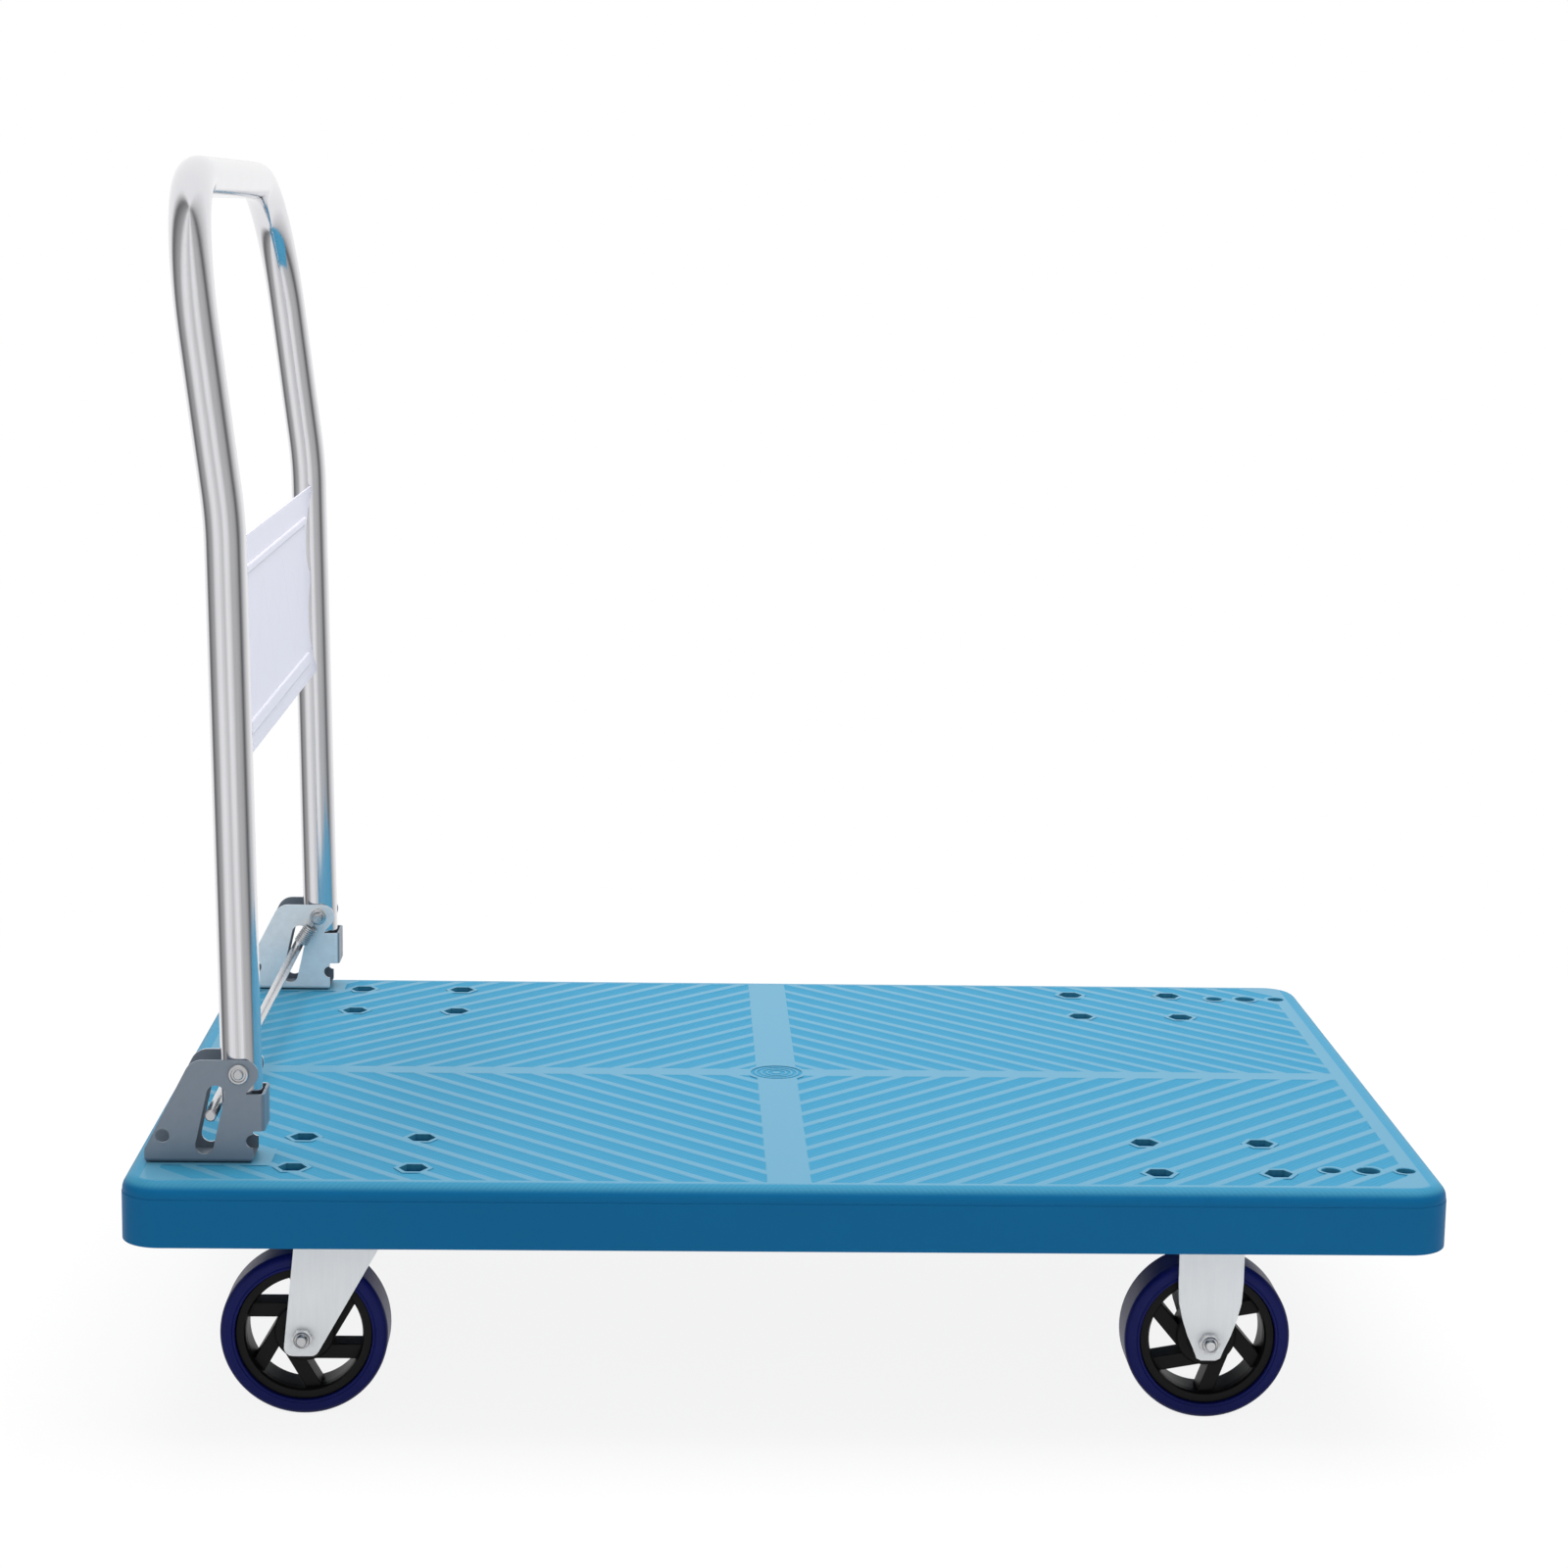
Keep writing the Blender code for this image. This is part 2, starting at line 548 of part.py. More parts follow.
# ---------------------------------------------------------------- handle


def bend_start():
    """Length along the leg from the pivot to where the bend begins."""
    return HANDLE_BEND_HEIGHT - HANDLE_BEND_RADIUS * math.tan(HANDLE_BEND / 2)


def handle_profile(run):
    """(point, tilt) on the leg's middle line, seen from the side, at this length from the pivot."""
    turned_by = min(max((run - bend_start()) / HANDLE_BEND_RADIUS, 0), HANDLE_BEND)
    if turned_by == 0:
        return Vector((0, 0, run)), 0.0
    x = -HANDLE_BEND_RADIUS * (1 - math.cos(turned_by))
    z = bend_start() + HANDLE_BEND_RADIUS * math.sin(turned_by)
    rest = run - bend_start() - turned_by * HANDLE_BEND_RADIUS
    return Vector((x - rest * math.sin(turned_by), 0, z + rest * math.cos(turned_by))), turned_by


def handle_run():
    """Length along the leg from the pivot to the crossbar's middle line."""
    lower = HANDLE_BEND_HEIGHT * math.cos(HANDLE_LEAN)
    bend_cut = 2 * HANDLE_BEND_RADIUS * math.tan(HANDLE_BEND / 2) - HANDLE_BEND_RADIUS * HANDLE_BEND
    return HANDLE_BEND_HEIGHT + (HANDLE_HEIGHT - lower) / math.cos(HANDLE_LEAN + HANDLE_BEND) - bend_cut


def handle_path():
    """(points, normals) of the tube's middle line, from one leg's lower end to the other's."""
    top = handle_run()
    half = LEG_SPACING / 2
    runs = [-BEYOND / 4, bend_start() / 2]
    runs += [bend_start() + HANDLE_BEND_RADIUS * HANDLE_BEND * i / 3 for i in range(4)]
    flat = [(-half, run) for run in runs]
    flat += arc(HANDLE_CORNER_RADIUS, 8, (-half + HANDLE_CORNER_RADIUS, top - HANDLE_CORNER_RADIUS), 180, 90)
    flat += [(-y, run) for y, run in reversed(flat)]
    points, normals = [], []
    for y, run in flat:
        point, tilt = handle_profile(run)
        points.append(point + Vector((0, y, 0)))
        normals.append(Vector((math.cos(tilt), 0, math.sin(tilt))))
    return points, normals


def panel_outline():
    """The panel's corners: each side meets its leg at two corners and is cut back in a brace between them."""
    front = PANEL_FORWARD - PANEL_THICKNESS / 2
    half = LEG_SPACING / 2 - math.sqrt((TUBE_DIAMETER / 2) ** 2 - front ** 2) - GAP
    side = [(half, PANEL_BOTTOM)]
    tip = PANEL_TIP_HEIGHT / 2
    below = (PANEL_BOTTOM + PANEL_LAND, PANEL_TIP - tip, False)
    above = (PANEL_TIP + tip, PANEL_TOP - PANEL_LAND, True)
    for low, high, upper in (below, above):
        for i in range(9):
            t = 1 - i / 8 if upper else i / 8
            depth = PANEL_TIP_DEPTH * t + PANEL_SCALLOP[upper] * math.sin(math.pi * t) ** 0.75
            side.append((half - depth, low + (high - low) * i / 8))
    side.append((half, PANEL_TOP))
    return side + [(-x, z) for x, z in reversed(side)]


def panel_mesh():
    """A flat sheet with a raised band pressed in along its top and bottom edges."""
    sheet = prism(panel_outline(), -PANEL_THICKNESS / 2, PANEL_THICKNESS / 2, CROSS_AXIS)
    half = LEG_SPACING / 2 - TUBE_DIAMETER / 2 - PANEL_BAND_END
    face = PANEL_THICKNESS / 2 + PANEL_BAND_HEIGHT
    bands = [box((0, -half, low), (face, half, high)) for low, high in PANEL_BANDS]
    return combine(sheet, bands, "UNION")


def make_handle(chrome, pale):
    hinge = bpy.data.objects.new("handle_hinge", None)
    bpy.context.scene.collection.objects.link(hinge)
    hinge.location = (PIVOT_X, HANDLE_OFFSET, PIVOT_Z)
    hinge.rotation_euler = (0, -HANDLE_LEAN, 0)
    points, normals = handle_path()
    tube = swept(points, normals, TUBE_DIAMETER / 2, TUBE_SIDES, TUBE_DIAMETER / 2 - TUBE_WALL)
    tail = [(-BEYOND, -BEYOND), (BEYOND, -BEYOND)] + arc(TAIL_RADIUS, 17, (0, 0), -12, -168)
    below_tail = prism(tail, -LEG_SPACING, LEG_SPACING, SIDE_AXIS)
    pivot_hole = rod(PIVOT_BOLT_DIAMETER / 2 + GAP, -LEG_SPACING, LEG_SPACING, 16, SIDE_AXIS)
    tube = cut(cut(tube, below_tail), pivot_hole)
    new_object("handle_tube", tube, chrome).parent = hinge
    new_object("handle_panel", panel_mesh(), pale, (PANEL_FORWARD, 0, 0)).parent = hinge


# ---------------------------------------------------------------- latch


def spring_mesh(length):
    """A close coil about Z from z = 0 down to -length, with a straight tail at each end."""
    steps = 6
    radius = (SPRING_DIAMETER - SPRING_WIRE) / 2
    coil = (SPRING_WIRE + 2 * GAP) * SPRING_TURNS
    margin = (length - coil) / 2
    points = [Vector((0, 0, 0)), Vector((0, 0, -margin * 0.7))]
    for i in range(SPRING_TURNS * steps + 1):
        a = 2 * math.pi * i / steps
        z = -margin - coil * i / (SPRING_TURNS * steps)
        points.append(Vector((radius * math.cos(a), radius * math.sin(a), z)))
    points += [Vector((0, 0, -length + margin * 0.7)), Vector((0, 0, -length))]
    normals = []
    for i in range(len(points)):
        along = (points[min(i + 1, len(points) - 1)] - points[max(i - 1, 0)]).normalized()
        upright = along.cross(Vector((0, 0, 1))).length < 1e-6
        normals.append(along.cross(Vector((1, 0, 0) if upright else (0, 0, 1))).normalized())
    return swept(points, normals, SPRING_WIRE / 2, 4)


def make_latch(zinc):
    half = LEG_SPACING / 2 + BRACKET_WIDTH / 2 + LATCH_BAR_OVERHANG
    bar = rod(LATCH_BAR_DIAMETER / 2, -half, half, 16, SIDE_AXIS)
    new_object("latch_bar", bar, zinc, LATCH_BAR)
    from_pivot = Vector((-LATCH_BAR_BEHIND, 0, -LATCH_BAR_BELOW))
    clear = PIVOT_BOLT_DIAMETER / 2 + GAP + SPRING_WIRE / 2
    length = from_pivot.length - clear - LATCH_BAR_DIAMETER / 2 - GAP - SPRING_WIRE / 2
    tilt = from_pivot.to_track_quat("-Z", "Y").to_matrix().to_4x4()
    for side, sign in SIDES.items():
        mesh = spring_mesh(length)
        mesh.transform(tilt)
        y = leg_y(side) - sign * (BRACKET_WIDTH / 2 + SPRING_DIAMETER / 2 + SPRING_SIDE_GAP)
        place = Vector((PIVOT_X, y, PIVOT_Z)) + from_pivot.normalized() * clear
        new_object("latch_spring_" + side, mesh, zinc, place)


# ---------------------------------------------------------------- casters


def wheel_rim_mesh(handedness, phase):
    """The rim about its middle, with its axle along Z. handedness swaps the slant of the spokes."""
    outer = WHEEL_DIAMETER / 2 - TREAD_THICKNESS - GAP
    inner = outer - RIM_WALL
    half = RIM_WIDTH / 2
    ring = turned([(inner, -half), (outer, -half), (outer, half), (inner, half)], 32, flats_down=True)
    hub = rod(HUB_DIAMETER / 2, -HUB_WIDTH / 2, HUB_WIDTH / 2, 16)
    reach = math.sqrt(inner ** 2 - SPOKE_OFFSET ** 2) + RIM_WALL / 3
    low = handedness * SPOKE_OFFSET - SPOKE_THICKNESS / 2
    spokes = []
    for i in range(SPOKE_COUNT):
        bar = box((0, low, -SPOKE_DEPTH / 2), (reach, low + SPOKE_THICKNESS, SPOKE_DEPTH / 2))
        bar.transform(Matrix.Rotation(math.radians(phase) + 2 * math.pi * i / SPOKE_COUNT, 4, "Z"))
        spokes.append(bar)
    return bored(combine(hub, spokes + [ring], "UNION"), SLEEVE_DIAMETER, 12)


def tread_mesh():
    outer = WHEEL_DIAMETER / 2
    inner = outer - TREAD_THICKNESS
    half = TREAD_WIDTH / 2
    shoulder = [(outer, half - TREAD_SHOULDER), (outer - TREAD_SHOULDER, half)]
    profile = [(inner, -half)] + [(r, -z) for r, z in reversed(shoulder)] + shoulder + [(inner, half)]
    return turned(profile, 32, flats_down=True)


def fork_side(kind):
    """The side's outline about the axle: x forward, z up. The swivel fork's leans to its crown."""
    top = FORK_TOP_Z - AXLE_Z
    edge = FORK_AXLE_EDGE
    if kind == "swivel":
        rear, front = SWIVEL_FORK_FOOT
        top_rear, top_front = SWIVEL_FORK_TOP
        corner = SWIVEL_FORK_CORNER
        outline = arc(corner, 5, (rear + corner, -edge + corner), 180, 270)
        outline += arc(corner, 5, (front - corner, -edge + corner), -90, -30)
        return outline + [(CASTER_TRAIL + top_front, top), (CASTER_TRAIL + top_rear, top)]
    front = [(FIXED_FORK_FOOT, -edge), *FIXED_FORK_SIDE, (FIXED_FORK_SIDE[-1][0], top)]
    return front + [(-x, z) for x, z in reversed(front)]


def fork_arch(half, top, bend):
    """The outline, seen from the front, of a fork's outside or inside."""
    outline = [(-half, -BEYOND)] + arc(bend, 5, (-half + bend, top - bend), 180, 90)
    return outline + arc(bend, 5, (half - bend, top - bend), 90, 0) + [(half, -BEYOND)]


def fork_mesh(kind):
    """A fork about the middle of its crown, at the height of the axle."""
    inside = TREAD_WIDTH / 2 + FORK_WHEEL_GAP
    outside = inside + FORK_SHEET
    trail = CASTER_TRAIL if kind == "swivel" else 0
    top = FORK_TOP_Z - AXLE_Z
    under = top - FORK_SHEET
    at_axle = placed(-trail) @ SIDE_AXIS
    legs = prism(fork_side(kind), -outside, outside, at_axle)
    legs = cut(legs, prism(fork_arch(inside, under, FORK_BEND), -BEYOND, BEYOND, CROSS_AXIS))
    shell = prism(fork_arch(outside, top, FORK_BEND + FORK_SHEET), -BEYOND, BEYOND, CROSS_AXIS)
    legs = combine(legs, [shell], "INTERSECT")
    if kind == "swivel":
        crown = rod(FORK_CROWN_DIAMETER / 2, under + GAP, top - GAP, 20)
        mesh = combine(legs, [crown], "UNION")
        mesh = cut(mesh, rod(KINGPIN_DIAMETER / 2 + RUNNING_GAP, 0, BEYOND, 16))
    else:
        plate_z = PLATE_Z - AXLE_Z
        riser = rod(RACE_DIAMETER / 2, top - FORK_SHEET / 2, plate_z + PLATE_THICKNESS / 2, 16)
        mesh = combine(legs, [riser, plate_blank(plate_z)], "UNION")
        mesh = cut(mesh, *plate_holes(plate_z))
    return cut(mesh, rod(AXLE_DIAMETER / 2 + GAP, -BEYOND, BEYOND, 14, at_axle))


def plate_blank(z):
    half = Vector((PLATE_LENGTH / 2, PLATE_WIDTH / 2, 0))
    return box(Vector((0, 0, z)) - half, Vector((0, 0, z + PLATE_THICKNESS)) + half)


def plate_holes(z):
    holes = []
    for sx in (-1, 1):
        for sy in (-1, 1):
            hole_at = placed(sx * PLATE_HOLES_LENGTH / 2, sy * PLATE_HOLES_WIDTH / 2, z)
            radius = MOUNT_BOLT_DIAMETER / 2 + RUNNING_GAP
            holes.append(rod(radius, -PLATE_THICKNESS, 2 * PLATE_THICKNESS, 8, hole_at))
    return holes


def swivel_plate_mesh():
    """A mounting plate with the upper race of the swivel head under it, about the plate's underside."""
    rim, top = RACE_DIAMETER / 2, PLATE_THICKNESS / 2
    race = turned([(RACE_BORE / 2, top), (RACE_BORE / 2, -RACE_HEIGHT), (rim - RACE_CHAMFER, -RACE_HEIGHT),
                   (rim, -RACE_HEIGHT + RACE_CHAMFER), (rim, top)], 16)
    plate = combine(plate_blank(0), [race], "UNION")
    return bored(cut(plate, *plate_holes(0)), KINGPIN_DIAMETER, 16)


def kingpin_mesh():
    """A rivet from the plate's top to under the fork's crown, about the fork's top."""
    top = RACE_HEIGHT + PLATE_THICKNESS
    under = -FORK_SHEET - GAP
    head = rod(KINGPIN_HEAD_DIAMETER / 2, under - KINGPIN_HEAD_HEIGHT, under, 16)
    return combine(head, [rod(KINGPIN_DIAMETER / 2, under - KINGPIN_HEAD_HEIGHT / 2, top, 16)], "UNION")


def make_caster(kind, side, x, y, meshes, finishes):
    name = f"{kind}_{{}}_{side}"
    wheel_at = (x - CASTER_TRAIL if kind == "swivel" else x, y, AXLE_Z)
    outward = Matrix.Rotation(math.radians(-90 * SIDES[side]), 4, "X")
    zinc, rim_black, tread_blue = finishes

    new_object(name.format("fork"), meshes[kind + " fork"].copy(), zinc, (x, y, AXLE_Z))
    if kind == "swivel":
        new_object(name.format("plate"), meshes["plate"].copy(), zinc, (x, y, PLATE_Z))
        new_object(name.format("kingpin"), meshes["kingpin"].copy(), zinc, (x, y, FORK_TOP_Z))
    turning = (
        ("wheel", kind + " wheel", rim_black), ("tread", "tread", tread_blue),
        ("axle_sleeve", "sleeve", zinc), ("axle_bolt", "axle bolt", zinc), ("axle_nut", "axle nut", zinc),
    )
    for piece, mesh_name, finish in turning:
        mesh = meshes[mesh_name].copy()
        mesh.transform(outward)
        new_object(name.format(piece), mesh, finish, wheel_at)


def make_casters(finishes):
    fork_inside = TREAD_WIDTH / 2 + FORK_WHEEL_GAP
    fork_outside = fork_inside + FORK_SHEET + GAP
    nut_height = HEX_HEIGHT + NUT_EXTRA_HEIGHT
    sleeve = rod(SLEEVE_DIAMETER / 2, RUNNING_GAP - fork_inside, fork_inside - RUNNING_GAP, 12)
    axle = hex_bolt(2 * fork_outside + nut_height + AXLE_BOLT_END, AXLE_DIAMETER, HEX_ACROSS, HEX_HEIGHT, 12)
    axle.transform(placed(z=-fork_outside) @ Matrix.Rotation(math.pi, 4, "X"))
    nut = prism(hexagon(HEX_ACROSS), fork_outside, fork_outside + nut_height)
    meshes = {
        "swivel fork": fork_mesh("swivel"),
        "fixed fork": fork_mesh("fixed"),
        "swivel wheel": wheel_rim_mesh(*SWIVEL_SPOKES),
        "fixed wheel": wheel_rim_mesh(*FIXED_SPOKES),
        "tread": tread_mesh(),
        "sleeve": bored(sleeve, AXLE_DIAMETER, 12),
        "axle bolt": axle,
        "axle nut": bored(nut, AXLE_DIAMETER, 12),
        "plate": swivel_plate_mesh(),
        "kingpin": kingpin_mesh(),
    }
    for place in caster_places():
        make_caster(*place, meshes, finishes)
    head_z = DECK_TOP_Z - HEX_POCKET_DEPTH + GAP
    length = head_z - (PLATE_Z - MOUNT_BOLT_END)
    bolt = hex_bolt(length, MOUNT_BOLT_DIAMETER, HEX_ACROSS, HEX_HEIGHT, 8)
    for kind, side, corner, x, y in mount_bolt_places():
        new_object(f"{kind}_mount_bolt_{side}_{corner}", bolt.copy(), finishes[0], (x, y, head_z))


def main():
    for obj in list(bpy.data.objects):
        bpy.data.objects.remove(obj)
    blue = material("deck_plastic", (0.030, 0.235, 0.420), 0.38)
    grey = material("bracket_steel", (0.36, 0.39, 0.42), 0.35, 1.0)
    zinc = material("zinc_plate", (0.72, 0.75, 0.78), 0.30, 1.0)
    chrome = material("chrome_tube", (0.70, 0.70, 0.72), 0.22, 1.0)
    pale = material("panel_paint", (0.70, 0.68, 0.76), 0.45)
    black = material("rim_plastic", (0.012, 0.012, 0.012), 0.45)
    navy = material("tread_rubber", (0.007, 0.007, 0.150), 0.30)

    new_object("deck", deck_mesh(), blue)
    make_brackets(grey, zinc)
    make_pivots(zinc)
    make_handle(chrome, pale)
    make_latch(zinc)
    make_casters((zinc, black, navy))


main()
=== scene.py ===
"""Folding platform cart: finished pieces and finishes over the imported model, laid out as an add-on."""

import json
import math
from contextlib import contextmanager

import bmesh
import bpy
from bpy.props import FloatProperty, FloatVectorProperty, IntProperty, PointerProperty
from mathutils import Matrix, Vector

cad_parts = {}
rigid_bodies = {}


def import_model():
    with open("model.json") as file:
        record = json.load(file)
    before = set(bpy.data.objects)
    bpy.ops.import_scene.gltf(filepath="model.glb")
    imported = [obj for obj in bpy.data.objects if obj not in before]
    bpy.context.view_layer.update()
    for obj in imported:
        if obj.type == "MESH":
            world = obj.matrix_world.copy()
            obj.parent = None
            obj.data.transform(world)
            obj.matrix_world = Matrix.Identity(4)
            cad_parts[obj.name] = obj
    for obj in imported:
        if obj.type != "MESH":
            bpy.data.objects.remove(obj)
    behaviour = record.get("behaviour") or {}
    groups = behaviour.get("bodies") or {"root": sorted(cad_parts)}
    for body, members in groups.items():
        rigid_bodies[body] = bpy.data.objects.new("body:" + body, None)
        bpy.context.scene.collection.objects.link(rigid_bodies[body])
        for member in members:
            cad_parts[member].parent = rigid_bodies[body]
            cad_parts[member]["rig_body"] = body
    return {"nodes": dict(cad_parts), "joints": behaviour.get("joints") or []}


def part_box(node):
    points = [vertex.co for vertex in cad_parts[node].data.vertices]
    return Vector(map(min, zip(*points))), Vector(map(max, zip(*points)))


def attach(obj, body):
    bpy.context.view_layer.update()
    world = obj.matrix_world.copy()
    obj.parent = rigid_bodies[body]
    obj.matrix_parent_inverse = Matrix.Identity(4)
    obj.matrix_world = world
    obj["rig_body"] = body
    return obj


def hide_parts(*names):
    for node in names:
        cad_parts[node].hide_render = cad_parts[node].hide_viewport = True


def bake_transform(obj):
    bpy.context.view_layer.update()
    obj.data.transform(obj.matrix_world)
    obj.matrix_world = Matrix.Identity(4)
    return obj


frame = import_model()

bl_info = {
    "name": "Folding platform cart",
    "version": (1, 0, 0),
    "blender": (4, 5, 0),
    "location": "View3D > Sidebar > Cart",
    "description": "Builds the finished pieces of a folding platform cart over its packed model",
    "category": "Object",
}

SIDES = {"right": -1, "left": 1}
CORNERS = ("rear_right", "rear_left", "front_right", "front_left")
ENDS = {"swivel": -1, "fixed": 1}
JOINTS = {joint["name"]: joint for joint in frame["joints"]}
PIVOT = Vector(JOINTS["handle_fold"]["pos_m"])
DECK_LOW, DECK_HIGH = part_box("deck")
LATCH_DIRECTION = Vector(JOINTS["latch_release"]["axis"])
PLACED_SIDE = Matrix.Rotation(math.radians(90), 4, "X")     # a drawing's y stands up, its depth runs along Y
PLACED_FRONT = Matrix(((0, 0, 1, 0), (1, 0, 0, 0), (0, 1, 0, 0), (0, 0, 0, 1)))   # drawn across, seen from the front


def middle(node):
    low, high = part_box(node)
    return (low + high) / 2


def length(name, description, default):
    return FloatProperty(name=name, description=description, default=default, min=0, unit="LENGTH", precision=4)


def colour(name, description, default):
    return FloatVectorProperty(
        name=name, description=description, default=default, subtype="COLOR", min=0, max=1
    )


# ---------------------------------------------------------------- sizes and colours


class DeckSizes(bpy.types.PropertyGroup):
    """Sizes of the moulded deck"""
    corner_radius: length("Corner radius", "Radius of the deck's corners, seen from above", 0.028)
    edge_radius: length("Edge radius", "Rounding of the top edge", 0.010)
    parting_drop: length("Parting line", "Height of the top edge above the mould's parting line", 0.0118)
    parting_step: length("Parting step", "How far the skirt stands out below the parting line", 0.0004)
    wall: length("Top wall", "Thickness of the top", 0.005)
    skirt: length("Skirt wall", "Thickness of the sides", 0.004)
    rib: length("Rib wall", "Thickness of the ribs under the deck", 0.003)
    pocket: length("Pocket pitch", "Largest pitch of the pockets under the deck", 0.0925)
    tread_pitch: length("Tread rib pitch", "From one raised rib of the top to the next", 0.0209)
    tread_rib: length("Tread rib width", "Width of a raised rib of the top", 0.0060)
    tread_depth: length("Groove depth", "Depth of the grooves between the raised ribs", 0.0006)
    tread_slope: length("Groove slope", "Width of the sloping side of a groove", 0.0014)
    band_across: length("Cross band", "Width of the smooth band across the deck's middle", 0.029)
    band_along: length("Long band", "Width of the smooth band along the deck's middle", 0.018)
    hole_margin: length("Hole margin", "Width of the smooth ring round each hole", 0.003)
    hex_pocket: length("Bolt pocket", "Width across the flats of the pockets over the caster bolts", 0.0175)
    hex_depth: length("Bolt pocket depth", "Depth of the pockets over the caster bolts", 0.022)
    medallion: length("Medallion", "Diameter of the round recess in the middle", 0.039)


class HandleSizes(bpy.types.PropertyGroup):
    """Sizes of the folding handle, its panel and its brackets"""
    tube: length("Tube", "Outer diameter of the handle's tube", 0.028)
    tube_wall: length("Tube wall", "Thickness of the tube", 0.0015)
    height: length("Height", "From the pivot to the middle of the crossbar", 0.5994)
    bend_height: length("Bend height", "From the pivot to the bend, along a leg", 0.376)
    bend_radius: length("Bend radius", "Radius of the bend", 0.350)
    corner_radius: length("Corner radius", "Radius of the two upper corners", 0.1046)
    lean: FloatProperty(name="Lean", description="Lean of the lower legs", default=0.0189, unit="ROTATION")
    bend: FloatProperty(name="Bend", description="Further lean above the bend", default=0.1076, unit="ROTATION")
    tail: length("Tail radius", "Arc about the pivot on which the legs end", 0.0285)
    panel_sheet: length("Panel sheet", "Thickness of the panel", 0.0016)
    panel_low: length("Panel foot", "From the pivot to the panel's lower edge", 0.205)
    panel_high: length("Panel top", "From the pivot to the panel's upper edge", 0.357)
    panel_tip: length("Panel tip", "From the pivot to the blunt tip of each side", 0.285)
    panel_forward: length("Panel place", "How far the panel is in front of the legs' middles", 0.003)
    bracket_sheet: length("Bracket sheet", "Thickness of the hinge brackets", 0.002)
    bracket_bend: length("Bracket bend", "Outer radius of the brackets' upright bends", 0.0038)
    bracket_foot: length("Bracket foot", "Rounding along the brackets' lower edges", 0.0030)
    bracket_heel: length("Bracket heel", "Height of the brackets' rear ends", 0.0095)
    bracket_shoulder: length("Bracket shoulder", "Radius at the top of the brackets' slanting rear edge", 0.0126)
    bracket_nose: length("Bracket nose", "Radius of the brackets' rounded tops about the pivot", 0.0096)
    bracket_tab: length("Bracket tab", "How far the brackets' front tabs reach in front of their sides", 0.0080)
    bracket_relief: length("Bracket relief", "Radius of the round cut under each front tab", 0.0048)
    slot: length("Latch slot", "Width of the slots for the latch bar", 0.0125)
    slot_above: length("Slot above", "From the latch bar up to the middle of the slot's end", 0.0145)
    slot_below: length("Slot below", "From the latch bar down to the middle of the slot's end", 0.02225)
    wire: length("Spring wire", "Thickness of the springs' wire", 0.0016)
    coil: length("Spring", "Outer diameter of the springs", 0.012)
    turns: IntProperty(name="Spring turns", description="Turns of each spring", default=9, min=2)


class CasterSizes(bpy.types.PropertyGroup):
    """Sizes of the casters"""
    tread_band: length("Tread", "Thickness of the tread on the wheel", 0.0105)
    shoulder: length("Shoulder", "Rounding of the tread's edges", 0.0050)
    rim_wall: length("Rim", "Thickness of the rim under the tread", 0.0068)
    hub: length("Hub", "Diameter of the hub", 0.042)
    web: length("Web", "Thickness of the spokes, along the axle", 0.019)
    spoke: length("Spoke", "Width of a spoke", 0.0105)
    spoke_offset: length("Spoke offset", "How far each spoke passes beside the axle", 0.015)
    spokes: IntProperty(name="Spokes", description="Number of spokes", default=6, min=3)
    hexagon: length("Nut", "Width across the flats of the axle nuts", 0.013)
    axle: length("Axle", "Diameter of the axle bolts", 0.008)


class CartColours(bpy.types.PropertyGroup):
    """Colours of the finishes"""
    deck: colour("Deck", "Moulded plastic of the deck", (0.002, 0.116, 0.278))
    # Painted light: the top's grooves are painted paler than the sides to stand in for the stronger light and the
    # white reflection the top catches.
    deck_top_painted_light: colour("Deck top", "Grooves of the deck's top, paled as painted light", (0.034, 0.205, 0.335))
    # Painted light: the raised ribs are painted paler still, standing in for the white reflection their smooth tops
    # catch at the glancing view.
    deck_rib_painted_light: colour("Deck ribs", "Raised ribs of the deck, paler still as painted light", (0.085, 0.245, 0.355))
    # Painted light and shade: the brackets are one steel, painted dark grey on the outboard faces and near-white on
    # the inboard faces for how light and reflections fall on them.
    bracket: colour("Bracket", "Hinge brackets, all but their inboard faces", (0.22, 0.265, 0.32))
    bracket_inner_painted_light: colour("Bracket inside", "Inboard faces of the hinge brackets", (0.95, 0.98, 1.0))
    tube: colour("Tube", "Plated handle tube", (0.80, 0.80, 0.83))
    panel: colour("Panel", "Painted handle panel", (0.66, 0.655, 0.765))
    tread: colour("Tread", "Polyurethane of the treads", (0.004, 0.008, 0.100))
    rim: colour("Rim", "Nylon of the rims", (0.004, 0.004, 0.004))
    fork: colour("Fork", "Zinc-plated forks and plates", (0.95, 0.98, 1.0))
    fastener: colour("Fasteners", "Bright zinc of bolts, nuts and springs", (0.66, 0.67, 0.69))
    floor: colour("Floor", "Studio floor", (0.80, 0.80, 0.80))


# ---------------------------------------------------------------- modelling by hand


def deselect():
    if bpy.context.mode != "OBJECT":
        bpy.ops.object.mode_set(mode="OBJECT")
    bpy.ops.object.select_all(action="DESELECT")


def activate(obj, *others):
    deselect()
    for each in (*others, obj):
        each.select_set(True)
    bpy.context.view_layer.objects.active = obj
    return obj


def settled(matrix=Matrix()):
    """The active object with its place, turn and size put into its mesh."""
    obj = bpy.context.object
    obj.matrix_world = matrix @ obj.matrix_world
    bpy.ops.object.transform_apply(location=True, rotation=True, scale=True)
    return obj


@contextmanager
def editing(obj):
    activate(obj)
    bpy.ops.object.mode_set(mode="EDIT")
    bpy.ops.mesh.select_all(action="SELECT")
    yield
    bpy.ops.object.mode_set(mode="OBJECT")


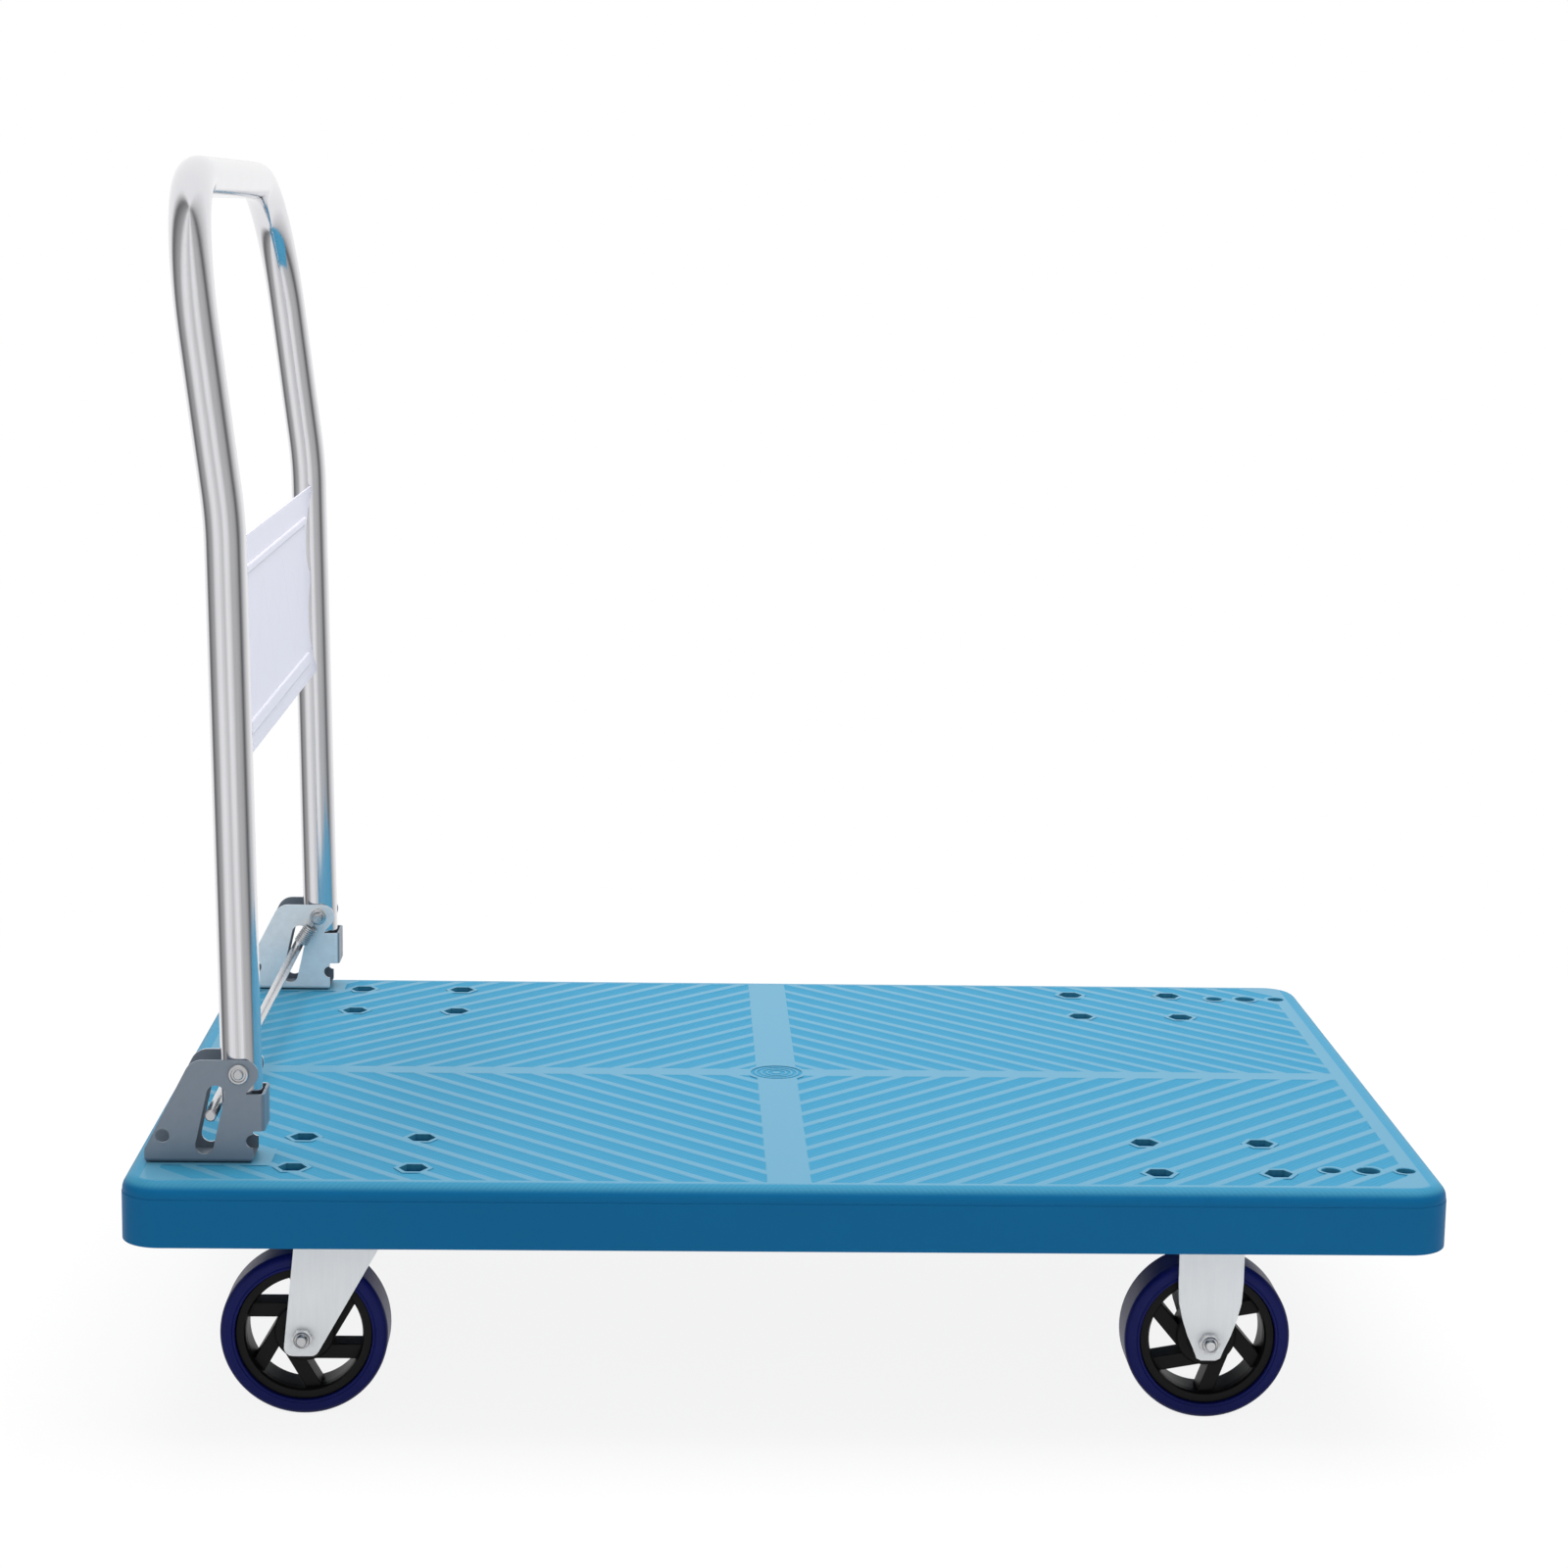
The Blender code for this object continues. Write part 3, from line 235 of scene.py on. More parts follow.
def choose(kind, test):
    """Selects the vertices, edges or faces of the mesh in edit mode that pass the test."""
    bpy.ops.mesh.select_mode(type=kind)
    bpy.ops.mesh.select_all(action="DESELECT")
    data = bpy.context.object.data
    mesh = bmesh.from_edit_mesh(data)
    parts = {"VERT": mesh.verts, "EDGE": mesh.edges, "FACE": mesh.faces}[kind]
    for part in parts:
        part.select_set(test(part))
    mesh.select_flush_mode()
    bmesh.update_edit_mesh(data)


def block(name, low, high):
    low, high = Vector(low), Vector(high)
    deselect()
    bpy.ops.mesh.primitive_cube_add(size=1, location=(low + high) / 2, scale=high - low)
    bpy.context.object.name = name
    return settled()


def rod(name, radius, low, high, matrix=Matrix(), sides=32):
    """A cylinder about Z from low to high, then placed by the matrix."""
    deselect()
    bpy.ops.mesh.primitive_cylinder_add(vertices=sides, radius=radius, depth=high - low, location=(0, 0, (low + high) / 2))
    bpy.context.object.name = name
    return settled(matrix)


def arc(radius, count, centre, start, end):
    angles = [math.radians(start + (end - start) * i / (count - 1)) for i in range(count)]
    return [(centre[0] + radius * math.cos(a), centre[1] + radius * math.sin(a)) for a in angles]


def circle(radius, count=32, centre=(0, 0)):
    return arc(radius, count + 1, centre, 0, 360)[:-1]


def traced(name, loops, flat):
    """A curve object through the points of each loop."""
    deselect()
    bpy.ops.curve.primitive_bezier_circle_add()
    obj = bpy.context.object
    obj.name = name
    obj.data.dimensions = "2D" if flat else "3D"
    obj.data.splines.clear()
    for loop in loops:
        spline = obj.data.splines.new("POLY")
        spline.use_cyclic_u = True
        spline.points.add(len(loop) - 1)
        for point, place in zip(spline.points, loop):
            point.co = (*place, 0, 1) if flat else (place[0], 0, place[1], 1)
    return obj


def drawn(name, loops, thickness, edge=0.0, matrix=Matrix(), steps=1):
    """A plate of the first loop's outline with the other loops cut out of it, and rounded or sloping edges."""
    obj = traced(name, loops, True)
    shape = obj.data
    shape.fill_mode = "BOTH"
    shape.extrude, shape.bevel_depth, shape.offset = thickness / 2 - edge, edge, -edge
    shape.bevel_resolution = steps if edge else 0
    bpy.ops.object.convert(target="MESH")
    settled(matrix)
    with editing(obj):
        bpy.ops.mesh.remove_doubles(threshold=1e-6)
        bpy.ops.mesh.normals_make_consistent(inside=False)
    return obj


def revolved(name, outlines, steps=96, matrix=Matrix()):
    """Closed outlines of (radius, height) points, each spun round Z."""
    obj = traced(name, outlines, False)
    bpy.ops.object.convert(target="MESH")
    with editing(obj):
        bpy.ops.mesh.spin(steps=steps, angle=2 * math.pi, center=(0, 0, 0), axis=(0, 0, 1))
        bpy.ops.mesh.select_all(action="SELECT")
        bpy.ops.mesh.remove_doubles(threshold=1e-6)
        bpy.ops.mesh.normals_make_consistent(inside=False)
    return settled(matrix)


def modified(obj, kind, **settings):
    """The object with one modifier put on and applied."""
    activate(obj)
    step = obj.modifiers.new(kind.lower(), kind)
    for key, value in settings.items():
        setattr(step, key, value)
    bpy.ops.object.modifier_apply(modifier=step.name)
    return obj


def cut(obj, tool, operation="DIFFERENCE"):
    modified(obj, "BOOLEAN", object=tool, operation=operation, solver="EXACT")
    bpy.data.objects.remove(tool)
    return obj


def joined(name, *parts):
    activate(parts[0], *parts[1:])
    if len(parts) > 1:
        bpy.ops.object.join()
    bpy.context.object.name = name
    return bpy.context.object


def softened(obj, width, segments=2, angle=35):
    """Rounds the sharp edges by this much."""
    with editing(obj):
        bpy.ops.mesh.remove_doubles(threshold=1e-6)
        bpy.ops.mesh.dissolve_limited(angle_limit=math.radians(0.5))
    return modified(obj, "BEVEL", width=width, segments=segments, limit_method="ANGLE",
                    angle_limit=math.radians(angle), use_clamp_overlap=True, miter_outer="MITER_ARC")


def refined(node, width, segments=2):
    """A copy of a CAD node with its sharp edges rounded."""
    activate(frame["nodes"][node])
    bpy.ops.object.duplicate()
    obj = bpy.context.object
    bpy.ops.object.parent_clear(type="CLEAR_KEEP_TRANSFORM")
    for key in list(obj.keys()):
        del obj[key]
    obj.data.materials.clear()
    with editing(obj):
        bpy.ops.mesh.remove_doubles(threshold=1e-5)
    return softened(obj, width, segments)


def finished(obj, name, finish, body, slot, *nodes):
    """Smooths and paints a piece, puts it on its body, and lets it stand for its CAD nodes."""
    activate(obj)
    obj.name = name
    obj.data.name = name
    obj.data.materials.clear()
    obj.data.materials.append(finish)
    bpy.ops.object.shade_smooth_by_angle(angle=math.radians(32))
    modified(obj, "WEIGHTED_NORMAL", keep_sharp=True, weight=80)
    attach(obj, body)
    if nodes:
        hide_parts(*nodes)
    return obj


def copied(obj, matrix):
    """Another of a piece, with its own mesh, moved by the matrix."""
    activate(obj)
    bpy.ops.object.duplicate()
    return settled(matrix)


def painted(finish, *nodes):
    """Gives CAD nodes that stay as they are a finish."""
    for node in nodes:
        obj = frame["nodes"][node]
        obj.data.materials.clear()
        obj.data.materials.append(finish)


# ---------------------------------------------------------------- finishes


class Value:
    """A node's output, which takes part in sums like a number."""

    def __init__(self, finish, socket):
        self.finish, self.socket = finish, socket

    def maths(self, operation, *values):
        return self.finish.node("Math", {"operation": operation}, dict(enumerate(values)))

    def __add__(self, other):
        return self.maths("ADD", self, other)

    def __sub__(self, other):
        return self.maths("SUBTRACT", self, other)

    def __rsub__(self, other):
        return self.maths("SUBTRACT", other, self)

    def __mul__(self, other):
        return self.maths("MULTIPLY", self, other)

    def __truediv__(self, other):
        return self.maths("DIVIDE", self, other)

    def __rtruediv__(self, other):
        return self.maths("DIVIDE", other, self)

    def __pow__(self, other):
        return self.maths("POWER", self, other)

    def __lt__(self, other):
        return self.maths("LESS_THAN", self, other)

    def __gt__(self, other):
        return self.maths("GREATER_THAN", self, other)

    def __abs__(self):
        return self.maths("ABSOLUTE", self)

    __radd__, __rmul__ = __add__, __mul__


class Finish:
    """A node tree, with its shader's own sockets for what is the same all over."""

    def __init__(self, name, **constants):
        self.material = bpy.data.materials.new(name)
        self.material.use_nodes = True
        self.tree = self.material.node_tree
        self.shader = self.tree.nodes["Principled BSDF"]
        for key, value in constants.items():
            self.plug(self.shader.inputs[key.replace("_", " ").title().replace("Ior", "IOR")], value)

    def plug(self, socket, value):
        if isinstance(value, Value):
            self.tree.links.new(value.socket, socket)
        elif isinstance(value, (int, float)) or len(value) == len(socket.default_value):
            socket.default_value = value
        else:
            socket.default_value = (*value, 1)

    def node(self, kind, settings=None, sockets=None, output=0):
        made = self.tree.nodes.new("ShaderNode" + kind)
        for key, value in (settings or {}).items():
            setattr(made, key, value)
        for key, value in (sockets or {}).items():
            self.plug(made.inputs[key], value)
        return Value(self, made.outputs[output])

    def place(self, scale=(1, 1, 1), turn=(0, 0, 0)):
        """Object coordinates, stretched and turned."""
        at = self.node("TexCoord", output="Object")
        return self.node("Mapping", None, {"Vector": at, "Scale": scale, "Rotation": turn})

    def axes(self):
        at = self.node("TexCoord", output="Object")
        made = self.node("SeparateXYZ", None, {0: at})
        return [Value(self, made.socket.node.outputs[i]) for i in range(3)]

    def noise(self, size, scale=(1, 1, 1), detail=2.0):
        """Noise from 0 to 1 of this size in metres, stretched by the scale."""
        sockets = {"Vector": self.place(scale), "Scale": 1 / size, "Detail": detail, "Roughness": 0.55}
        return self.node("TexNoise", None, sockets)

    def ramp(self, value, low, high, out_low=0.0, out_high=1.0):
        sockets = {"Value": value, "From Min": low, "From Max": high, "To Min": out_low, "To Max": out_high}
        return self.node("MapRange", {"interpolation_type": "SMOOTHSTEP"}, sockets)

    def mix(self, factor, first, second):
        return self.node("Mix", {"data_type": "RGBA"}, {0: factor, 6: first, 7: second}, output=2)

    def bump(self, height, distance, strength=1.0):
        self.set("Normal", self.node("Bump", None, {"Height": height, "Distance": distance, "Strength": strength}))

    def set(self, name, value):
        self.plug(self.shader.inputs[name], value)


def shaded(tone, amount):
    return tuple(c * amount for c in tone)


def deck_plastic():
    colours, sizes = bpy.context.scene.cart_colours, bpy.context.scene.cart_deck
    deck, lit_top_tone, rib = tuple(colours.deck), tuple(colours.deck_top_painted_light), tuple(colours.deck_rib_painted_light)
    paint = Finish("deck_plastic", specular_ior_level=0.09)
    x, y, z = paint.axes()
    top = DECK_HIGH.z
    inside = (abs(x) < DECK_HIGH.x - 0.014) * (abs(y) < DECK_HIGH.y - 0.008)
    depth = sizes.tread_depth
    on_top = paint.ramp(z, top - depth * 0.7, top - depth * 0.1) * inside
    groove = (z > top - depth * 1.3) * inside * (1 - on_top)
    along, across = abs(x) - abs(y), abs(x) + abs(y)
    hatch = paint.node("Math", {"operation": "SINE"}, {0: along * (2 * math.pi / 0.0042)}) * 0.5 + 0.5
    cross = paint.node("Math", {"operation": "SINE"}, {0: across * (2 * math.pi / 0.0052)}) * 0.25 + 0.25
    clouds, grain = paint.noise(0.05, detail=3.0), paint.noise(0.0012)
    tone = paint.mix(clouds, shaded(deck, 0.94), shaded(deck, 1.06))
    # Painted light: from just below the top edge upwards the paler top colour replaces the deck colour, so the top
    # reads lighter than the sides.
    tone = paint.mix(paint.ramp(z, top - 0.006, top - 0.002), tone, paint.mix(hatch, lit_top_tone, shaded(lit_top_tone, 1.08)))
    # Painted light: the raised ribs take their paler colour, a painted reflection of the white surroundings.
    tone = paint.mix(on_top * (clouds * 0.3 + 0.7), tone, rib)
    paint.set("Base Color", tone)
    paint.set("Roughness", 0.42 + groove * (0.10 + hatch * 0.08) - on_top * 0.10 + clouds * 0.05)
    paint.bump(groove * (hatch + cross) + grain * 0.12, 0.0003, 0.45)
    return paint.material


def bracket_steel():
    colours = bpy.context.scene.cart_colours
    paint = Finish("bracket_steel", metallic=0.5)
    _, y, _ = paint.axes()
    from_middle = abs(y - PIVOT.y)
    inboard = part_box("hinge_bracket_left")[0].y - PIVOT.y
    # Painted light and shade: the inboard faces take the near-white colour and the rest the dark grey, though both are
    # the same steel.
    outer = paint.ramp(from_middle, inboard + 0.0005, inboard + 0.0012)
    mottle = paint.noise(0.006, detail=4.0)
    streaks = paint.noise(0.0010, (1, 1, 0.05))
    tone = paint.mix(outer, tuple(colours.bracket_inner_painted_light), tuple(colours.bracket))
    tone = paint.mix(mottle * 0.25, tone, shaded(colours.bracket, 0.7))
    paint.set("Base Color", tone)
    paint.set("Roughness", 0.30 + mottle * 0.16 + streaks * 0.06)
    paint.bump(mottle * 0.5 + streaks * 0.5, 0.00008, 0.5)
    return paint.material


def plated(name, tone, roughness, metallic=1.0, stretch=(1, 1, 0.02), size=0.0012, depth=0.00003):
    """Bright plating with fine drawn lines along one axis and slow cloudiness."""
    paint = Finish(name, metallic=metallic)
    lines, clouds = paint.noise(size, stretch), paint.noise(0.03, detail=3.0)
    paint.set("Base Color", paint.mix(lines * 0.5 + clouds * 0.3, tuple(tone), shaded(tone, 0.84)))
    paint.set("Roughness", roughness + lines * 0.08 + clouds * 0.06)
    paint.bump(lines, depth, 0.4)
    return paint.material


def panel_paint():
    """Satin paint over a pressed sheet, with soft slanting creases between its two bands, each darkened a little as
    painted shade.
    """
    colours = bpy.context.scene.cart_colours
    paint = Finish("panel_paint", coat_weight=0.25, coat_roughness=0.2)
    _, y, z = paint.axes()
    low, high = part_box("handle_panel")
    rise = (z - low.z) / (high.z - low.z)
    across = (y - PIVOT.y) / (high.y - low.y)
    wave = paint.node("Math", {"operation": "PINGPONG"}, {0: across + 10.06, 1: 0.125}) * 8
    crease = 1 - paint.ramp(abs(rise - 0.5 - (wave - 0.5) * 0.52), 0.0, 0.020)
    second = 1 - paint.ramp(abs(rise - 0.5 + (wave - 0.5) * 0.30), 0.0, 0.016)
    field = paint.ramp(rise, 0.20, 0.24) * (1 - paint.ramp(rise, 0.78, 0.82))
    orange_peel, clouds = paint.noise(0.0015), paint.noise(0.04, detail=3.0)
    creases_and_their_shade = (crease + second * 0.6) * field
    tone = paint.mix(clouds, shaded(colours.panel, 0.95), tuple(colours.panel))
    # Painted shade: the creases are darkened a little, as if shade lay in them.
    paint.set("Base Color", paint.mix(creases_and_their_shade * 0.10, tone, shaded(colours.panel, 0.7)))
    paint.set("Roughness", 0.36 + clouds * 0.08)
    paint.bump(creases_and_their_shade * 0.8 + orange_peel * 0.12, 0.0005, 0.5)
    return paint.material


def tread_polyurethane():
    colours = bpy.context.scene.cart_colours
    paint = Finish("tread_polyurethane", specular_ior_level=0.14)
    clouds, dust = paint.noise(0.02, detail=3.0), paint.noise(0.003, detail=4.0)
    tone = paint.mix(clouds, shaded(colours.tread, 0.8), shaded(colours.tread, 1.1))
    paint.set("Base Color", paint.mix(paint.ramp(dust, 0.60, 0.80) * 0.05, tone, (0.20, 0.20, 0.24)))
    paint.set("Roughness", 0.34 + dust * 0.12)
    paint.bump(clouds * 0.3 + dust * 0.2, 0.0002, 0.3)
    return paint.material


def rim_plastic():
    colours = bpy.context.scene.cart_colours
    paint = Finish("rim_plastic", specular_ior_level=0.15)
    grain, clouds = paint.noise(0.0007), paint.noise(0.015, detail=3.0)
    paint.set("Base Color", paint.mix(clouds, tuple(colours.rim), shaded(colours.rim, 1.8)))
    paint.set("Roughness", 0.40 + grain * 0.12)
    paint.bump(grain, 0.0001, 0.4)
    return paint.material


def finishes():
    """Every finish by name, made once."""
    colours = bpy.context.scene.cart_colours
    makers = {
        "deck_plastic": deck_plastic,
        "bracket_steel": bracket_steel,
        "chrome_tube": lambda: plated("chrome_tube", colours.tube, 0.06),
        "panel_paint": panel_paint,
        "tread_polyurethane": tread_polyurethane,
        "rim_plastic": rim_plastic,
        "zinc_fork": lambda: plated("zinc_fork", colours.fork, 0.40, 0.0, (1, 1, 0.06), 0.0016, 0.00004),
        "zinc_fasteners": lambda: plated("zinc_fasteners", colours.fastener, 0.20, 1.0, (1, 1, 1), 0.002),
    }
    for name, maker in makers.items():
        if name not in bpy.data.materials or not bpy.data.materials[name].get("cart_finish"):
            old = bpy.data.materials.get(name)
            if old:
                old.name = name + "_plain"
            maker()["cart_finish"] = True
    return {name: bpy.data.materials[name] for name in makers}


def in_finish(obj, name, slot, body, *nodes):
    return finished(obj, name, finishes()[slot], body, slot, *nodes)


# ---------------------------------------------------------------- deck


def clipped(outline, inside):
    """The part of a convex outline where inside(x, y) is above zero."""
    kept = []
    for first, second in zip(outline, outline[1:] + outline[:1]):
        a, b = inside(*first), inside(*second)
        if a > 0:
            kept.append(first)
        if (a > 0) != (b > 0):
            t = a / (a - b)
            kept.append((first[0] + (second[0] - first[0]) * t, first[1] + (second[1] - first[1]) * t))
    return kept


def rounded(half_x, half_y, radius, count=9, centre=(0, 0)):
    points = []
    for quarter, (sx, sy) in enumerate(((1, 1), (-1, 1), (-1, -1), (1, -1))):
        at = (centre[0] + sx * (half_x - radius), centre[1] + sy * (half_y - radius))
        points += arc(radius, count, at, 90 * quarter, 90 * quarter + 90)
    return points


def hexagon(across, centre=(0, 0)):
    return circle(across / math.sqrt(3), 6, centre)


def caster_middle(kind, side):
    low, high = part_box(f"{kind}_fork_{side}") if kind == "fixed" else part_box(f"swivel_plate_{side}")
    return (low + high) / 2


def mount_bolts():
    return [middle(f"{kind}_mount_bolt_{side}_{corner}") for kind in ENDS for side in SIDES for corner in CORNERS]


def bracket_bolts():
    return [middle(f"bracket_bolt_{side}_{end}") for side in SIDES for end in ("rear", "front")]


def tow_holes():
    """(x, y, diameter) of the holes at the front for tow ropes."""
    for sign in SIDES.values():
        for x, diameter in ((0.375, 0.013), (0.401, 0.016), (0.427, 0.013)):
            yield x, sign * (DECK_HIGH.y - 0.050), diameter


def deck_shell(sizes):
    """The deck's outside: rounded corners, a parting line, and a rounded top edge."""
    step, drop = sizes.parting_step, sizes.parting_drop
    inset = Vector((step, step, 0))
    deck = block("deck", DECK_LOW + inset, DECK_HIGH - inset)
    parting = DECK_HIGH.z - drop
    with editing(deck):
        choose("EDGE", lambda e: abs(e.verts[0].co.z - e.verts[1].co.z) > 0.01)
        bpy.ops.mesh.bevel(offset=sizes.corner_radius - step, segments=12, affect="EDGES")
        bpy.ops.mesh.select_all(action="SELECT")
        bpy.ops.mesh.bisect(plane_co=(0, 0, parting), plane_no=(0, 0, 1))
        choose("FACE", lambda f: abs(f.normal.z) < 0.1 and f.calc_center_median().z < parting)
        bpy.ops.mesh.extrude_region_shrink_fatten(TRANSFORM_OT_shrink_fatten={"value": step, "use_even_offset": True})
        choose("EDGE", lambda e: all(v.co.z > DECK_HIGH.z - 1e-6 for v in e.verts))
        bpy.ops.mesh.bevel(offset=sizes.edge_radius, segments=8, affect="EDGES")
        choose("EDGE", lambda e: all(v.co.z < DECK_LOW.z + 1e-6 and abs(f.normal.z) > 0.9
                                     for v in e.verts for f in e.link_faces))
        bpy.ops.mesh.dissolve_edges()
        choose("EDGE", lambda e: all(v.co.z < DECK_LOW.z + 1e-6 for v in e.verts)
               and any(abs(f.normal.z) < 0.1 for f in e.link_faces))
        bpy.ops.mesh.bevel(offset=0.0008, segments=3, affect="EDGES")
    return deck


def cells(low, high, sizes):
    """Splits a stretch into equal pockets, with a rib between each two."""
    count = max(1, math.ceil((high - low + sizes.rib) / sizes.pocket))
    pitch = (high - low + sizes.rib) / count
    return [(low + i * pitch, low + (i + 1) * pitch - sizes.rib) for i in range(count)]


def pocket_spans(half, bay_low, bay_high, sizes):
    """The pockets' stretches along one axis, with the two caster bays as stretches of their own."""
    outer = cells(bay_high + sizes.rib, half, sizes)
    spans = [(-high, -low, False) for low, high in outer] + [(-bay_high, -bay_low, True)]
    spans += [(bay_low, bay_high, True)] + [(low, high, False) for low, high in outer]
    return spans + [(low, high, False) for low, high in cells(sizes.rib - bay_low, bay_low - sizes.rib, sizes)]


def underside(sizes):
    """What is hollow under the deck: a shallow tray round all of it, and the pockets between its ribs."""
    half_x, half_y = DECK_HIGH.x - sizes.skirt, DECK_HIGH.y - sizes.skirt
    low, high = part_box("swivel_plate_right")
    bay = (high - low) / 2 + Vector((0.0065, 0.0065, 0))
    at = caster_middle("fixed", "left")
    tray = drawn("tray", [rounded(half_x, half_y, sizes.corner_radius - sizes.skirt)], 0.1, 0,
                 Matrix.Translation((0, 0, DECK_LOW.z + 0.002 - 0.05)))
    inset = sizes.corner_radius * 0.3
    pad, ceiling = high.z + 0.0003, DECK_HIGH.z - sizes.wall
    pockets = []
    for span_x in pocket_spans(half_x, at.x - bay.x, at.x + bay.x, sizes):
        for span_y in pocket_spans(half_y, at.y - bay.y, at.y + bay.y, sizes):
            (x0, x1, bay_x), (y0, y1, bay_y) = span_x, span_y
            if max(-x0, x1) > half_x - inset and max(-y0, y1) > half_y - inset:
                x0, x1 = max(x0, inset - half_x), min(x1, half_x - inset)
                y0, y1 = max(y0, inset - half_y), min(y1, half_y - inset)
            top = pad if bay_x and bay_y else ceiling
            pockets.append(block("pocket", (x0, y0, DECK_LOW.z - 0.05), (x1, y1, top)))
    return tray, joined("pockets", *pockets)


def groove_outlines(sizes):
    """The grooves of the top: in each quarter, bars that run across it between the two smooth bands."""
    low = (sizes.band_across / 2, sizes.band_along / 2)
    high = (DECK_HIGH.x - 0.0235, DECK_HIGH.y - 0.0125)
    spacing = sizes.tread_pitch * math.sqrt(2)
    half_rib = sizes.tread_rib / math.sqrt(2)
    field = [low, (high[0], low[1]), high, (low[0], high[1])]
    at = low[0] + low[1] - spacing * 0.35
    while at < high[0] + high[1]:
        start, end = at + half_rib, at + spacing - half_rib
        bar = clipped(clipped(field, lambda x, y: x + y - start), lambda x, y: end - x - y)
        if len(bar) > 2 and abs(bar[0][0] - bar[len(bar) // 2][0]) > 0.002:
            for sx in (-1, 1):
                for sy in (-1, 1):
                    yield [(sx * x, sy * y) for x, y in bar]
        at += spacing


def tread_grooves(sizes):
    """The grooves, less a smooth ring or pad round each hole and bracket."""
    depth, margin = sizes.tread_depth, sizes.hole_margin
    at_top = Matrix.Translation((0, 0, DECK_HIGH.z))
    slope = sizes.tread_slope
    flattened = at_top @ Matrix.Diagonal((1, 1, depth / slope, 1))
    grooves = drawn("grooves", list(groove_outlines(sizes)), 2 * slope, slope, flattened, 0)
    keep = [hexagon(sizes.hex_pocket + 2 * margin, at.xy) for at in mount_bolts()]
    keep += [circle(diameter / 2 + margin, 32, (x, y)) for x, y, diameter in tow_holes()]
    keep.append(circle(sizes.medallion / 2 + margin, 48))
    for side in SIDES:
        low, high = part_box("hinge_bracket_" + side)
        keep.append([(low.x - 0.03, low.y - 0.004), (high.x + 0.004, low.y - 0.004),
                     (high.x + 0.004, high.y + 0.004), (low.x - 0.03, high.y + 0.004)])
    return cut(grooves, drawn("smooth_pads", keep, 4 * depth, 0, at_top))


def deck_holes(sizes):
    """The openings of the top, as cutters."""
    top, floor = DECK_HIGH.z, DECK_HIGH.z - sizes.hex_depth
    lead = 0.0006
    holes = []
    for at in mount_bolts():
        middle_z = (floor + top + 0.02) / 2
        holes.append(drawn("pocket", [hexagon(sizes.hex_pocket, at.xy)], top + 0.02 - floor, 0,
                           Matrix.Translation((0, 0, middle_z))))
        holes.append(rod("shank_hole", 0.0045, DECK_LOW.z - 0.02, floor + 0.0003, Matrix.Translation((*at.xy, 0)), 24))
    for x, y, diameter in tow_holes():
        rim = [(0, -0.030), (diameter / 2, -0.030), (diameter / 2, -lead), (diameter / 2 + lead, 0.0),
               (diameter / 2 + lead, 0.01), (0, 0.01)]
        holes.append(revolved("tow_hole", [rim], 32, Matrix.Translation((x, y, top))))
    for at in bracket_bolts():
        holes.append(rod("bolt_hole", 0.0035, top - 0.030, top + 0.01, Matrix.Translation((*at.xy, 0)), 24))
    return joined("holes", *holes)


def medallion_cutter(sizes):
    """A shallow round recess with three raised rings and a raised middle."""
    radius, deep, raised = sizes.medallion / 2, -sizes.tread_depth, -sizes.tread_depth * 0.25
    outline = [(0, 0.01), (0, raised), (radius * 0.16, raised), (radius * 0.18, deep)]
    for ring in (0.36, 0.58, 0.80):
        outline += [(radius * (ring - 0.03), deep), (radius * (ring - 0.02), raised),
                    (radius * (ring + 0.05), raised), (radius * (ring + 0.06), deep)]
    outline += [(radius, deep), (radius, 0.01)]
    return revolved("medallion", [outline], 72, Matrix.Translation((0, 0, DECK_HIGH.z)))


def build_deck():
    sizes = bpy.context.scene.cart_deck
    deck = deck_shell(sizes)
    for tool in underside(sizes):
        cut(deck, tool)
    cut(deck, tread_grooves(sizes))
    cut(deck, medallion_cutter(sizes))
    cut(deck, deck_holes(sizes))
    in_finish(deck, "deck_moulding", "deck_plastic", "root", "deck")


# ---------------------------------------------------------------- hinge brackets and their bolts


def leg(side):
    return middle("hinge_bracket_" + side).y


def bracket_outline(sizes):
    """A side of the bracket, seen from the right: x from the pivot, z above the deck."""
    low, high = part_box("hinge_bracket_right")
    rear, front, pivot = low.x - PIVOT.x, high.x - PIVOT.x, PIVOT.z - DECK_HIGH.z
    foot, cheek, relief, tab_low = 0.0003, front - sizes.bracket_tab, sizes.bracket_relief, 0.0225
    outline = [(rear, foot), (rear, sizes.bracket_heel)]
    outline += arc(sizes.bracket_shoulder, 17, (-0.0247, high.z - DECK_HIGH.z - sizes.bracket_shoulder), 155, 90)
    outline += arc(sizes.bracket_nose, 25, (0.0036, pivot), 90, -50)
    outline += [(0.0050, pivot - 0.0130), (0.0050, pivot - sizes.tube / 2 - foot),
                (front, pivot - sizes.tube / 2 - foot), (front, tab_low), (cheek, tab_low)]
    outline += arc(relief, 17, (cheek, 0.0152), 90, 270)
    return outline + [(cheek, foot)]


def channel(half, front, bend):
    """The plan of the bracket's outside or inside: open at the rear, and rounded at the front."""
    return ([(-0.2, -half)] + arc(bend, 9, (front - bend, bend - half), -90, 0)
            + arc(bend, 9, (front - bend, half - bend), 0, 90) + [(-0.2, half)])


